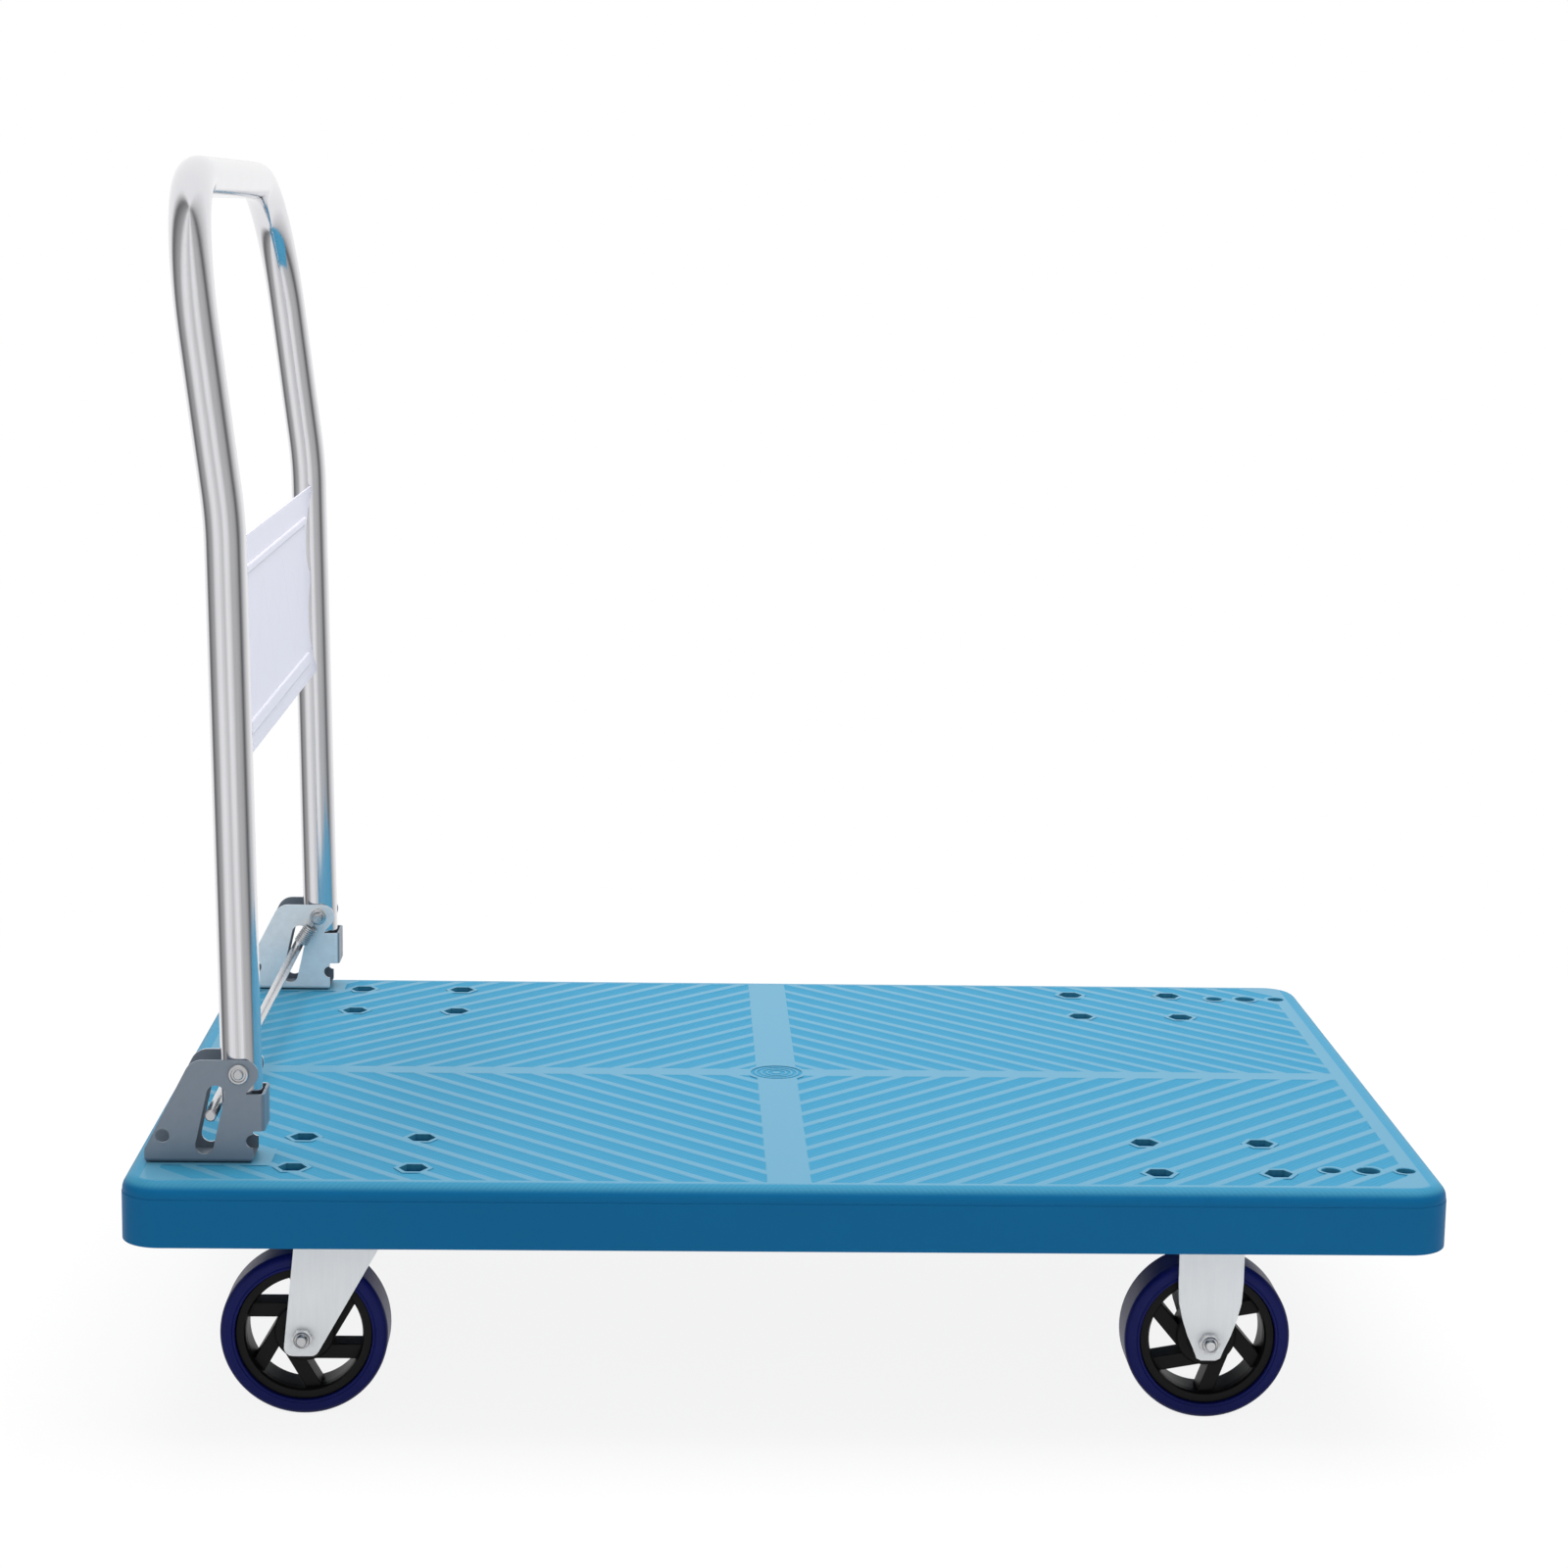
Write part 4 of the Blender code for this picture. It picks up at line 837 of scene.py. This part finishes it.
def build_bracket():
    """A bracket of folded sheet on each side of the deck."""
    sizes = bpy.context.scene.cart_handle
    low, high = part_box("hinge_bracket_right")
    half, front, sheet = (high.y - low.y) / 2, high.x - PIVOT.x, sizes.bracket_sheet
    foot = low.z - DECK_HIGH.z
    bracket = drawn("bracket", [bracket_outline(sizes)], 2 * half, 0, PLACED_SIDE)
    bend = sizes.bracket_bend
    cut(bracket, drawn("outside", [channel(half, front, bend)], 0.4), "INTERSECT")
    with editing(bracket):
        choose("EDGE", lambda e: all(v.co.z < foot + 1e-5 and abs(v.co.y) > half - 1e-5 for v in e.verts))
        bpy.ops.mesh.bevel(offset=sizes.bracket_foot, segments=4, affect="EDGES")
    room = Matrix.Translation((0, 0, foot + sheet + 0.1))
    cut(bracket, drawn("inside", [channel(half - sheet, front - sheet, bend - sheet)], 0.2, 0, room))
    pivot = PIVOT.z - DECK_HIGH.z
    bar = middle("latch_bar") - Vector((PIVOT.x, 0, DECK_HIGH.z))
    start, end = bar - LATCH_DIRECTION * sizes.slot_above, bar + LATCH_DIRECTION * sizes.slot_below
    lean = math.degrees(math.atan2(-LATCH_DIRECTION.x, -LATCH_DIRECTION.z))
    slot = arc(sizes.slot / 2, 17, (start.x, start.z), -lean, 180 - lean)
    slot += arc(sizes.slot / 2, 17, (end.x, end.z), 180 - lean, 360 - lean)
    cheek = front - sizes.bracket_tab
    through = [
        drawn("slot", [slot], 0.1, 0, PLACED_SIDE),
        drawn("side_hole", [circle(0.00475, 32, (low.x - PIVOT.x + 0.0123, 0.019))], 0.1, 0, PLACED_SIDE),
        drawn("pivot_hole", [circle(0.0043, 32, (0, pivot))], 0.1, 0, PLACED_SIDE),
        block("slit", (cheek, -0.0005, 0.0152), (front + 0.02, 0.0005, 0.1)),
    ]
    for at in (middle("bracket_bolt_right_rear"), middle("bracket_bolt_right_front")):
        through.append(rod("bolt_hole", 0.0033, -0.01, 0.004, Matrix.Translation((at.x - PIVOT.x, 0, 0)), 32))
    cut(bracket, joined("through", *through))
    softened(bracket, 0.0005)
    for side in SIDES:
        place = Matrix.Translation((PIVOT.x, leg(side), DECK_HIGH.z))
        in_finish(copied(bracket, place), "hinge_bracket_" + side + "_folded", "bracket_steel", "root",
                  "hinge_bracket_" + side)
    bpy.data.objects.remove(bracket)


def hex_nut(name, across, height, bore):
    """A hexagon about Z, on z = 0, with its corners turned off at both ends, and a hole through it."""
    nut = drawn(name, [hexagon(across)], height + 0.002, 0, Matrix.Translation((0, 0, height / 2)))
    corner, flat = across / math.sqrt(3) + 0.0001, across / 2
    lip = (corner - flat) * 0.55
    profile = [(0, 0), (flat * 0.97, 0), (corner, lip), (corner, height - lip), (flat * 0.97, height), (0, height)]
    cut(nut, revolved("turning", [profile], 64), "INTERSECT")
    if bore:
        cut(nut, rod("bore", bore, -0.01, height + 0.01, Matrix(), 32))
    return nut


def pin(name, radius, low, high, chamfer=0.0007):
    """A round pin about Z with chamfered ends."""
    ends = [(0, low), (radius - chamfer, low), (radius, low + chamfer)]
    return revolved(name, [ends + [(radius, high - chamfer), (radius - chamfer, high), (0, high)]], 40)


def build_pivots():
    """The bolts that the legs turn on, with their round heads outside and nuts inside."""
    low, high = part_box("hinge_bracket_right")
    half = (high.y - low.y) / 2
    end = half + 0.003
    head = [(0, half), (0.0070, half + 0.0003), (0.0070, half + 0.0014), (0.0064, half + 0.0020),
            (0.0052, half + 0.0020), (0.0047, half + 0.0008), (0.0037, half + 0.0008), (0.0034, end - 0.0006),
            (0.0028, end), (0, end)]
    bolt = joined("pivot_bolt", pin("shank", 0.004, -half - 0.0125, half + 0.0006), revolved("head", [head], 48))
    nut_low, nut_high = -half - 0.0053, -half - 0.0003
    collar = [(0.0043, nut_low), (0.0055, nut_low), (0.0060, nut_low + 0.0004), (0.0060, nut_low + 0.0018),
              (0.0065, nut_low + 0.0022), (0.0065, nut_high - 0.0004), (0.0061, nut_high), (0.0043, nut_high)]
    nut = revolved("pivot_nut", [collar], 48)
    for side, sign in SIDES.items():
        place = Matrix.Translation((PIVOT.x, leg(side), PIVOT.z)) @ Matrix.Rotation(-sign * math.pi / 2, 4, "X")
        for blank, node in ((bolt, "pivot_bolt_" + side), (nut, "pivot_nut_" + side)):
            in_finish(copied(blank, place), node + "_turned", "zinc_fasteners", "root", node)
    bpy.data.objects.remove(bolt)
    bpy.data.objects.remove(nut)


# ---------------------------------------------------------------- handle


def leaning(sizes):
    """From the upright handle about its pivot to its place."""
    return Matrix.Translation((PIVOT.x, PIVOT.y, PIVOT.z)) @ Matrix.Rotation(-sizes.lean, 4, "Y")


def build_tube():
    """One tube, bent from leg to leg: two slight bends above the panel and two round corners."""
    sizes = bpy.context.scene.cart_handle
    half = (leg("left") - leg("right")) / 2
    bend, radius, corner = sizes.bend, sizes.bend_radius, sizes.corner_radius
    straight = sizes.bend_height - radius * math.tan(bend / 2)
    shortening = 2 * radius * math.tan(bend / 2) - radius * bend
    lower = sizes.bend_height * math.cos(sizes.lean)
    run = sizes.bend_height + (sizes.height - lower) / math.cos(sizes.lean + bend) - shortening
    upper = run - corner - straight - radius * bend
    up = Vector((-math.sin(bend), 0, math.cos(bend)))
    deselect()
    bpy.ops.mesh.primitive_circle_add(vertices=48, radius=sizes.tube / 2, location=(0, -half, -0.05))
    tube = bpy.context.object
    settled()
    centre_x = -radius
    joint = Vector((-radius * (1 - math.cos(bend)), -half, straight + radius * math.sin(bend))) + up * upper

    def drawn_out(vector):
        bpy.ops.mesh.extrude_region_move(TRANSFORM_OT_translate={"value": vector})

    def bent(angle, centre, axis, steps):
        bpy.ops.mesh.spin(steps=steps, angle=angle, center=centre, axis=axis)

    with editing(tube):
        drawn_out((0, 0, 0.05 + straight))
        bent(bend, (centre_x, -half, straight), (0, 1, 0), 12)
        drawn_out(up * upper)
        across = Vector((up.z, 0, -up.x))
        bent(math.pi / 2, joint + Vector((0, corner, 0)), across, 24)
        drawn_out((0, 2 * (half - corner), 0))
        bent(math.pi / 2, joint + Vector((0, 2 * half - corner, 0)), across, 24)
        drawn_out(-up * upper)
        bent(-bend, (centre_x, half, straight), (0, 1, 0), 12)
        drawn_out((0, 0, -0.05 - straight))
        bpy.ops.mesh.select_all(action="SELECT")
        bpy.ops.mesh.remove_doubles(threshold=1e-6)
        bpy.ops.mesh.normals_make_consistent(inside=False)
    modified(tube, "SOLIDIFY", thickness=sizes.tube_wall, offset=-1, use_even_offset=True)
    tail = [(-0.2, -0.2), (0.2, -0.2)] + arc(sizes.tail, 25, (0, 0), -12, -168)
    cut(tube, drawn("tail", [tail], 1, 0, PLACED_SIDE))
    cut(tube, drawn("pivot_hole", [circle(0.0043, 32)], 1, 0, PLACED_SIDE))
    activate(tube)
    settled(leaning(sizes))
    in_finish(tube, "handle_tube_bent", "chrome_tube", "handle", "handle_tube")


def panel_outline(sizes, half):
    """Each side meets its leg at two corners and is cut back in a brace between them."""
    land, tip, into = 0.006, 0.005, 0.029
    side = [(half, sizes.panel_low)]
    lower = (sizes.panel_low + land, sizes.panel_tip - tip, 0.030)
    upper = (sizes.panel_tip + tip, sizes.panel_high - land, 0.038)
    for low, high, scallop in (lower, upper):
        for i in range(25):
            t = i / 24 if scallop == lower[2] else 1 - i / 24
            depth = into * t + scallop * abs(math.sin(math.pi * t)) ** 0.75
            side.append((half - depth, low + (high - low) * i / 24))
    side.append((half, sizes.panel_high))
    return side + [(-x, z) for x, z in reversed(side)]


def build_panel():
    """A flat sheet between the legs with a raised bead along its top and its foot."""
    sizes = bpy.context.scene.cart_handle
    spacing, sheet = (leg("left") - leg("right")) / 2, sizes.panel_sheet
    back = sizes.panel_forward - sheet / 2
    half = spacing - math.sqrt((sizes.tube / 2) ** 2 - back ** 2) - 0.0003
    panel = drawn("panel", [panel_outline(sizes, half)], sheet, 0.0004, PLACED_FRONT)
    end = spacing - sizes.tube / 2 - 0.055
    for low, high in ((0.2185, 0.2290), (0.3310, 0.3370)):
        bead = drawn("bead", [rounded(end, (high - low) / 2, (high - low) / 2.1, 9, (0, (low + high) / 2))],
                     0.0046, 0.0011, PLACED_FRONT)
        cut(bead, block("behind", (-0.01, -1, 0), (0, 1, 1)))
        cut(panel, bead, "UNION")
    activate(panel)
    settled(leaning(sizes) @ Matrix.Translation((sizes.panel_forward, 0, 0)))
    in_finish(panel, "handle_panel_pressed", "panel_paint", "handle", "handle_panel")


# ---------------------------------------------------------------- latch


def build_latch():
    """The bar that holds the legs upright, and the spring at each end that draws it up."""
    low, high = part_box("latch_bar")
    at = (low + high) / 2
    half = (high.y - low.y) / 2
    bar = pin("bar", (high.z - low.z) / 2, -half, half, 0.0009)
    activate(bar)
    settled(Matrix.Translation(at) @ PLACED_SIDE)
    in_finish(bar, "latch_bar_turned", "zinc_fasteners", "latch", "latch_bar")

    sizes = bpy.context.scene.cart_handle
    wire, coil = sizes.wire / 2, (sizes.coil - sizes.wire) / 2
    start = Vector((PIVOT.x, 0, PIVOT.z))
    reach = Vector((at.x, 0, at.z)) - start
    pitch = sizes.wire * 1.08
    hook = 0.004 + 0.0003 + wire
    deselect()
    bpy.ops.mesh.primitive_circle_add(vertices=10, radius=wire, location=(coil, 0, 0), rotation=(math.pi / 2, 0, 0))
    spring = bpy.context.object
    settled()
    modified(spring, "SCREW", angle=2 * math.pi * sizes.turns, screw_offset=pitch * sizes.turns,
             steps=24 * sizes.turns, render_steps=24 * sizes.turns, use_normal_calculate=True)
    with editing(spring):
        bpy.ops.mesh.fill_holes(sides=0)
        bpy.ops.mesh.normals_make_consistent(inside=False)
    middle_z = -pitch * sizes.turns / 2
    activate(spring)
    settled(Matrix.Translation((0, 0, middle_z)))
    parts = [spring]
    for end in (-1, 1):
        deselect()
        bpy.ops.mesh.primitive_torus_add(major_radius=hook, minor_radius=wire, major_segments=32, minor_segments=10,
                                         location=(0, 0, end * reach.length / 2), rotation=(math.pi / 2, 0, 0))
        parts.append(bpy.context.object)
        settled()
        foot = pitch * sizes.turns / 2 - wire
        parts.append(rod("neck", wire * 0.98, foot, reach.length / 2 - hook, Matrix.Scale(end, 4, (0, 0, 1)), 10))
        with editing(parts[-1]):
            bpy.ops.mesh.normals_make_consistent(inside=False)
    spring = joined("spring", *parts)
    tilt = reach.to_track_quat("-Z", "Y").to_matrix().to_4x4()
    for side in SIDES:
        y = middle("latch_spring_" + side).y
        made = copied(spring, Matrix.Translation(start + reach / 2 + Vector((0, y, 0))) @ tilt)
        in_finish(made, f"latch_spring_{side}_wound", "zinc_fasteners", "root", "latch_spring_" + side)
        made.parent = None
        del made["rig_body"]
        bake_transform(made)
    bpy.data.objects.remove(spring)


# ---------------------------------------------------------------- casters


def window(sizes, outer, hub, hand, first, second):
    """An opening of the rim between two spokes that pass beside the axle."""
    near, far = hand * sizes.spoke_offset + sizes.spoke / 2, hand * sizes.spoke_offset - sizes.spoke / 2

    def angle(start, offset, radius):
        return start + math.degrees(math.asin(offset / radius))

    return (arc(outer, 15, (0, 0), angle(first, near, outer), angle(second, far, outer))
            + arc(hub, 5, (0, 0), angle(second, far, hub), angle(first, near, hub)))


def rim(sizes, hand, phase):
    """A moulded rim about its middle, with its axle along Z."""
    low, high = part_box("fixed_wheel_right")
    tread_low, tread_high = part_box("fixed_tread_right")
    outer = (tread_high.z - tread_low.z) / 2 - sizes.tread_band - 0.0003
    half, inner, hub = 0.015, outer - sizes.rim_wall, sizes.hub / 2
    across = (high.y - low.y) / 2
    lip = 0.0012
    ring = [(inner, -half + 0.0022), (inner + lip, -half), (outer - 0.0006, -half), (outer, -half + 0.0006),
            (outer, half - 0.0006), (outer - 0.0006, half), (inner + lip, half), (inner, half - 0.0022)]
    bore = 0.0083
    boss = [(bore, -across), (0.0125, -across), (0.0140, -across + 0.0015), (0.0140, -0.0125), (hub - 0.0010, -0.0115),
            (hub, -0.0105), (hub, 0.0105), (hub - 0.0010, 0.0115), (0.0140, 0.0125), (0.0140, across - 0.0015),
            (0.0125, across), (bore, across)]
    body = revolved("rim_ring", [ring, boss], 96)
    step = 360 / sizes.spokes
    windows = [window(sizes, inner - 0.0002, hub, hand, phase + i * step, phase + (i + 1) * step)
               for i in range(sizes.spokes)]
    web = drawn("web", [circle(inner + 0.002, 96), circle(bore, 48)] + windows, sizes.web, 0.0010)
    return joined("rim", body, web)


def tyre(sizes):
    """The tread, with rounded shoulders and a fine line moulded round its side."""
    low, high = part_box("fixed_tread_right")
    outer, half = (high.z - low.z) / 2, (high.y - low.y) / 2
    inner, shoulder = outer - sizes.tread_band, sizes.shoulder
    face = arc(shoulder, 9, (outer - shoulder, half - shoulder), 0, 90)
    line = inner + 0.0020
    side = [(line + 0.0005, half), (line, half - 0.0004), (line - 0.0005, half), (inner + 0.0004, half),
            (inner, half - 0.0004)]
    upper = face + side
    return revolved("tyre", [upper + [(r, -z) for r, z in reversed(upper)]], 120)


def threaded(radius, low, high, pitch=0.00125):
    """A bolt's end with its thread's ridges, about Z."""
    outline, depth = [(0, low), (radius * 0.8, low)], 0.0005
    z = low + 0.0004
    while z < high - pitch:
        outline += [(radius - depth, z), (radius, z + pitch / 2)]
        z += pitch
    outline += [(radius - depth, z), (radius * 0.75, high), (0, high)]
    return revolved("thread", [outline], 32)


def build_casters():
    """Wheels, treads, forks, plates, axle bolts and their lock nuts, copied to all four casters."""
    sizes = bpy.context.scene.cart_caster
    across, radius = sizes.hexagon, sizes.axle / 2
    side_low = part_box("fixed_axle_nut_right")
    wheel = middle("fixed_wheel_right")
    nut_in, nut_out = abs(side_low[1].y - wheel.y), abs(side_low[0].y - wheel.y)
    bolt_low, bolt_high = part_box("fixed_axle_bolt_right")
    tip, head = abs(bolt_low.y - wheel.y), abs(bolt_high.y - wheel.y)

    collar = [(radius * 0.9, 0), (across * 0.44, 0), (across * 0.44, 0.0012), (across * 0.38, 0.0020),
              (radius * 0.9, 0.0020)]
    nut_height = nut_out - nut_in
    nut = hex_nut("nut", across, nut_height - 0.0014, radius * 0.98)
    activate(collar_ring := revolved("collar", [collar], 48))
    settled(Matrix.Translation((0, 0, nut_height - 0.0020)))
    nut = joined("nut", nut, collar_ring)
    activate(nut)
    settled(Matrix.Translation((0, 0, nut_in)))
    bolt = joined("bolt", pin("shank", radius, -head + 0.001, nut_in + 0.001), threaded(radius, nut_in, tip))
    hexagonal = hex_nut("head", across, head - nut_in, 0)
    activate(hexagonal)
    settled(Matrix.Rotation(math.pi, 4, "X") @ Matrix.Translation((0, 0, nut_in)))
    bolt = joined("bolt", bolt, hexagonal)
    blanks = {
        "swivel_wheel": (rim(sizes, -1, 0), "rim_plastic"), "fixed_wheel": (rim(sizes, 1, 10), "rim_plastic"),
        "tread": (tyre(sizes), "tread_polyurethane"), "axle_nut": (nut, "zinc_fasteners"),
        "axle_bolt": (bolt, "zinc_fasteners"),
    }
    for kind in ENDS:
        for side, sign in SIDES.items():
            at = middle(f"{kind}_tread_{side}")
            place = Matrix.Translation(at) @ Matrix.Rotation(-sign * math.pi / 2, 4, "X")
            turning = f"{kind}_wheel_{side}"
            held = f"swivel_{side}" if kind == "swivel" else "root"
            for piece, body in (("wheel", turning), ("tread", turning), ("axle_nut", held), ("axle_bolt", held)):
                blank, finish = blanks[f"{kind}_wheel" if piece == "wheel" else piece]
                node = f"{kind}_{piece}_{side}"
                in_finish(copied(blank, place), node + "_made", finish, body, node)
            fork = f"{kind}_fork_{side}"
            in_finish(refined(fork, 0.0007), fork + "_pressed", "zinc_fork", held, fork)
            if kind == "swivel":
                plate = f"swivel_plate_{side}"
                in_finish(refined(plate, 0.0007), plate + "_pressed", "zinc_fork", "root", plate)
    for blank, _ in blanks.values():
        bpy.data.objects.remove(blank)


def build_fasteners():
    """Bolts, kingpins and sleeves keep their modelled shape and get their finish."""
    zinc = finishes()["zinc_fasteners"]
    painted(zinc, *(f"{kind}_mount_bolt_{side}_{corner}" for kind in ENDS for side in SIDES for corner in CORNERS))
    painted(zinc, *(f"bracket_bolt_{side}_{end}" for side in SIDES for end in ("rear", "front")))
    painted(zinc, *(f"{kind}_axle_sleeve_{side}" for kind in ENDS for side in SIDES))
    painted(zinc, *(f"swivel_kingpin_{side}" for side in SIDES))


# ---------------------------------------------------------------- studio


def soft_light(name, place, aim, size, power):
    deselect()
    bpy.ops.object.light_add(type="AREA", location=place)
    lamp = bpy.context.object
    lamp.name = name
    lamp.data.shape = "RECTANGLE"
    lamp.data.size, lamp.data.size_y = size
    lamp.data.energy = power
    lamp.visible_glossy = False
    lamp.rotation_euler = (Vector(aim) - Vector(place)).to_track_quat("-Z", "Y").to_euler()
    return lamp


def studio_world():
    """White to the camera, softer to what it lights, with two darker panels for bright metal to mirror."""
    world = bpy.data.worlds.new("studio")
    bpy.context.scene.world = world
    world.use_nodes = True
    tree = world.node_tree
    tree.nodes.clear()

    def node(kind, **settings):
        made = tree.nodes.new("ShaderNode" + kind)
        for key, value in settings.items():
            setattr(made, key, value)
        return made

    out = node("OutputWorld")
    seen, light, mirror = node("Background"), node("Background"), node("Background")
    seen.inputs["Strength"].default_value = 1.0
    light.inputs["Strength"].default_value = 0.52
    for background in (seen, light):
        background.inputs["Color"].default_value = (1, 1, 1, 1)
    direction, parts, angle = node("TexCoord"), node("SeparateXYZ"), node("Math", operation="ARCTAN2")
    tree.links.new(direction.outputs["Generated"], parts.inputs[0])
    tree.links.new(parts.outputs["Y"], angle.inputs[0])
    tree.links.new(parts.outputs["X"], angle.inputs[1])
    turn = node("MapRange")
    turn.inputs["From Min"].default_value, turn.inputs["From Max"].default_value = -math.pi, math.pi
    tree.links.new(angle.outputs[0], turn.inputs["Value"])
    bands = node("ValToRGB")
    stops = ((0.0, 0.30), (0.008, 0.34), (0.06, 0.46), (0.105, 0.90), (0.15, 0.98), (0.19, 0.80), (0.23, 0.66),
             (0.27, 0.98), (0.31, 0.90), (0.35, 0.56), (0.394, 0.54), (0.44, 0.44), (0.485, 0.12), (0.51, 0.30),
             (0.55, 0.62), (0.64, 1.0), (0.90, 1.0), (0.95, 0.14), (1.0, 0.30))
    ramp = bands.color_ramp
    while len(ramp.elements) < len(stops):
        ramp.elements.new(0.5)
    for element, (place, grey) in zip(ramp.elements, stops):
        element.position = place
        element.color = (grey, grey, grey, 1)
    tree.links.new(turn.outputs[0], bands.inputs[0])
    tree.links.new(bands.outputs[0], mirror.inputs["Color"])
    path, first, second = node("LightPath"), node("MixShader"), node("MixShader")
    tree.links.new(path.outputs["Is Glossy Ray"], first.inputs[0])
    tree.links.new(light.outputs[0], first.inputs[1])
    tree.links.new(mirror.outputs[0], first.inputs[2])
    tree.links.new(path.outputs["Is Camera Ray"], second.inputs[0])
    tree.links.new(first.outputs[0], second.inputs[1])
    tree.links.new(seen.outputs[0], second.inputs[2])
    tree.links.new(second.outputs[0], out.inputs[0])


def build_studio():
    """A pale floor, a white world, a broad light above, and the camera."""
    studio_world()
    floor = block("floor", (-6, -6, -0.02), (6, 6, 0))
    with editing(floor):
        choose("EDGE", lambda e: all(v.co.z > -0.001 for v in e.verts))
        bpy.ops.mesh.bevel(offset=0.01, segments=2, affect="EDGES")
    paint = Finish("studio_floor", roughness=0.8, specular_ior_level=0.1)
    tone = tuple(bpy.context.scene.cart_colours.floor)
    paint.set("Base Color", paint.mix(paint.noise(1.5), shaded(tone, 0.99), tone))
    glow = paint.node("Emission", None, {"Color": (1, 1, 1), "Strength": 1.0})
    x, y, _ = paint.axes()
    far = paint.ramp(((x ** 2) + (y ** 2)) ** 0.5, 0.5, 1.6)
    path = paint.node("LightPath", output="Is Camera Ray")
    made = paint.tree.nodes.new("ShaderNodeMixShader")
    paint.plug(made.inputs[0], path * (far * 0.12 + 0.88))
    paint.tree.links.new(paint.shader.outputs[0], made.inputs[1])
    paint.tree.links.new(glow.socket, made.inputs[2])
    paint.tree.links.new(made.outputs[0], paint.tree.nodes["Material Output"].inputs["Surface"])
    floor.data.materials.append(paint.material)
    floor.visible_glossy = False
    lamps = [
        soft_light("overhead", (0.1, 0.3, 2.6), (0, 0, 0.2), (3.0, 2.4), 104),
        soft_light("front_fill", (0.6, -3.2, 1.6), (0, 0, 0.3), (2.4, 1.8), 8),
    ]
    deselect()
    bpy.ops.object.camera_add(location=(-0.0845, -2.4211, 0.8284))
    camera = bpy.context.object
    turn = Matrix.Rotation(-0.0357, 4, "Z") @ Matrix.Rotation(math.pi / 2 - 0.1724, 4, "X") @ Matrix.Rotation(0.0171, 4, "Z")
    camera.rotation_euler = turn.to_euler()
    camera.data.lens, camera.data.sensor_width = 75.39, 36
    camera.data.clip_end = 50
    bpy.context.scene.camera = camera
    bpy.context.scene.view_settings.view_transform = "Standard"


# ---------------------------------------------------------------- add-on


class CART_OT_deck(bpy.types.Operator):
    """Builds the moulded deck with its grooves, holes and ribs"""
    bl_idname = "cart.deck"
    bl_label = "Deck"

    def execute(self, context):
        build_deck()
        return {"FINISHED"}


class CART_OT_brackets(bpy.types.Operator):
    """Builds the two folded hinge brackets and the bolts the legs turn on"""
    bl_idname = "cart.brackets"
    bl_label = "Hinge brackets"

    def execute(self, context):
        build_bracket()
        build_pivots()
        return {"FINISHED"}


class CART_OT_handle(bpy.types.Operator):
    """Builds the bent handle tube and the panel between its legs"""
    bl_idname = "cart.handle"
    bl_label = "Handle"

    def execute(self, context):
        build_tube()
        build_panel()
        return {"FINISHED"}


class CART_OT_latch(bpy.types.Operator):
    """Builds the latch bar and its two springs"""
    bl_idname = "cart.latch"
    bl_label = "Latch"

    def execute(self, context):
        build_latch()
        return {"FINISHED"}


class CART_OT_casters(bpy.types.Operator):
    """Builds the wheels, treads, forks, plates and axle bolts of the four casters"""
    bl_idname = "cart.casters"
    bl_label = "Casters"

    def execute(self, context):
        build_casters()
        return {"FINISHED"}


class CART_OT_fasteners(bpy.types.Operator):
    """Gives the bolts, kingpins and sleeves their finish"""
    bl_idname = "cart.fasteners"
    bl_label = "Fasteners"

    def execute(self, context):
        build_fasteners()
        return {"FINISHED"}


class CART_OT_studio(bpy.types.Operator):
    """Adds the floor, the lights, the surroundings and the camera"""
    bl_idname = "cart.studio"
    bl_label = "Studio"

    def execute(self, context):
        build_studio()
        return {"FINISHED"}


class CART_PT_pieces(bpy.types.Panel):
    """The cart's sizes, colours and pieces"""
    bl_idname = "CART_PT_pieces"
    bl_label = "Folding platform cart"
    bl_space_type = "VIEW_3D"
    bl_region_type = "UI"
    bl_category = "Cart"

    def draw(self, context):
        for key in GROUPS:
            box = self.layout.box()
            group = getattr(context.scene, key)
            for field in group.bl_rna.properties.keys():
                if field not in ("rna_type", "name"):
                    box.prop(group, field)
        for piece in OPERATORS:
            self.layout.operator(piece.bl_idname)


GROUPS = {"cart_deck": DeckSizes, "cart_handle": HandleSizes, "cart_caster": CasterSizes, "cart_colours": CartColours}
OPERATORS = (CART_OT_deck, CART_OT_brackets, CART_OT_handle, CART_OT_latch, CART_OT_casters, CART_OT_fasteners,
             CART_OT_studio)
CLASSES = (*GROUPS.values(), *OPERATORS, CART_PT_pieces)


def register():
    for each in CLASSES:
        bpy.utils.register_class(each)
    for key, group in GROUPS.items():
        setattr(bpy.types.Scene, key, PointerProperty(type=group))


def unregister():
    for key in GROUPS:
        delattr(bpy.types.Scene, key)
    for each in reversed(CLASSES):
        bpy.utils.unregister_class(each)


def main():
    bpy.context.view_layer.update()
    for name in ("Cube", "Camera", "Light"):
        if name in bpy.data.objects:
            bpy.data.objects.remove(bpy.data.objects[name])
    register()
    for piece in OPERATORS:
        group, name = piece.bl_idname.split(".")
        getattr(getattr(bpy.ops, group), name)()


if __name__ == "__main__":
    main()
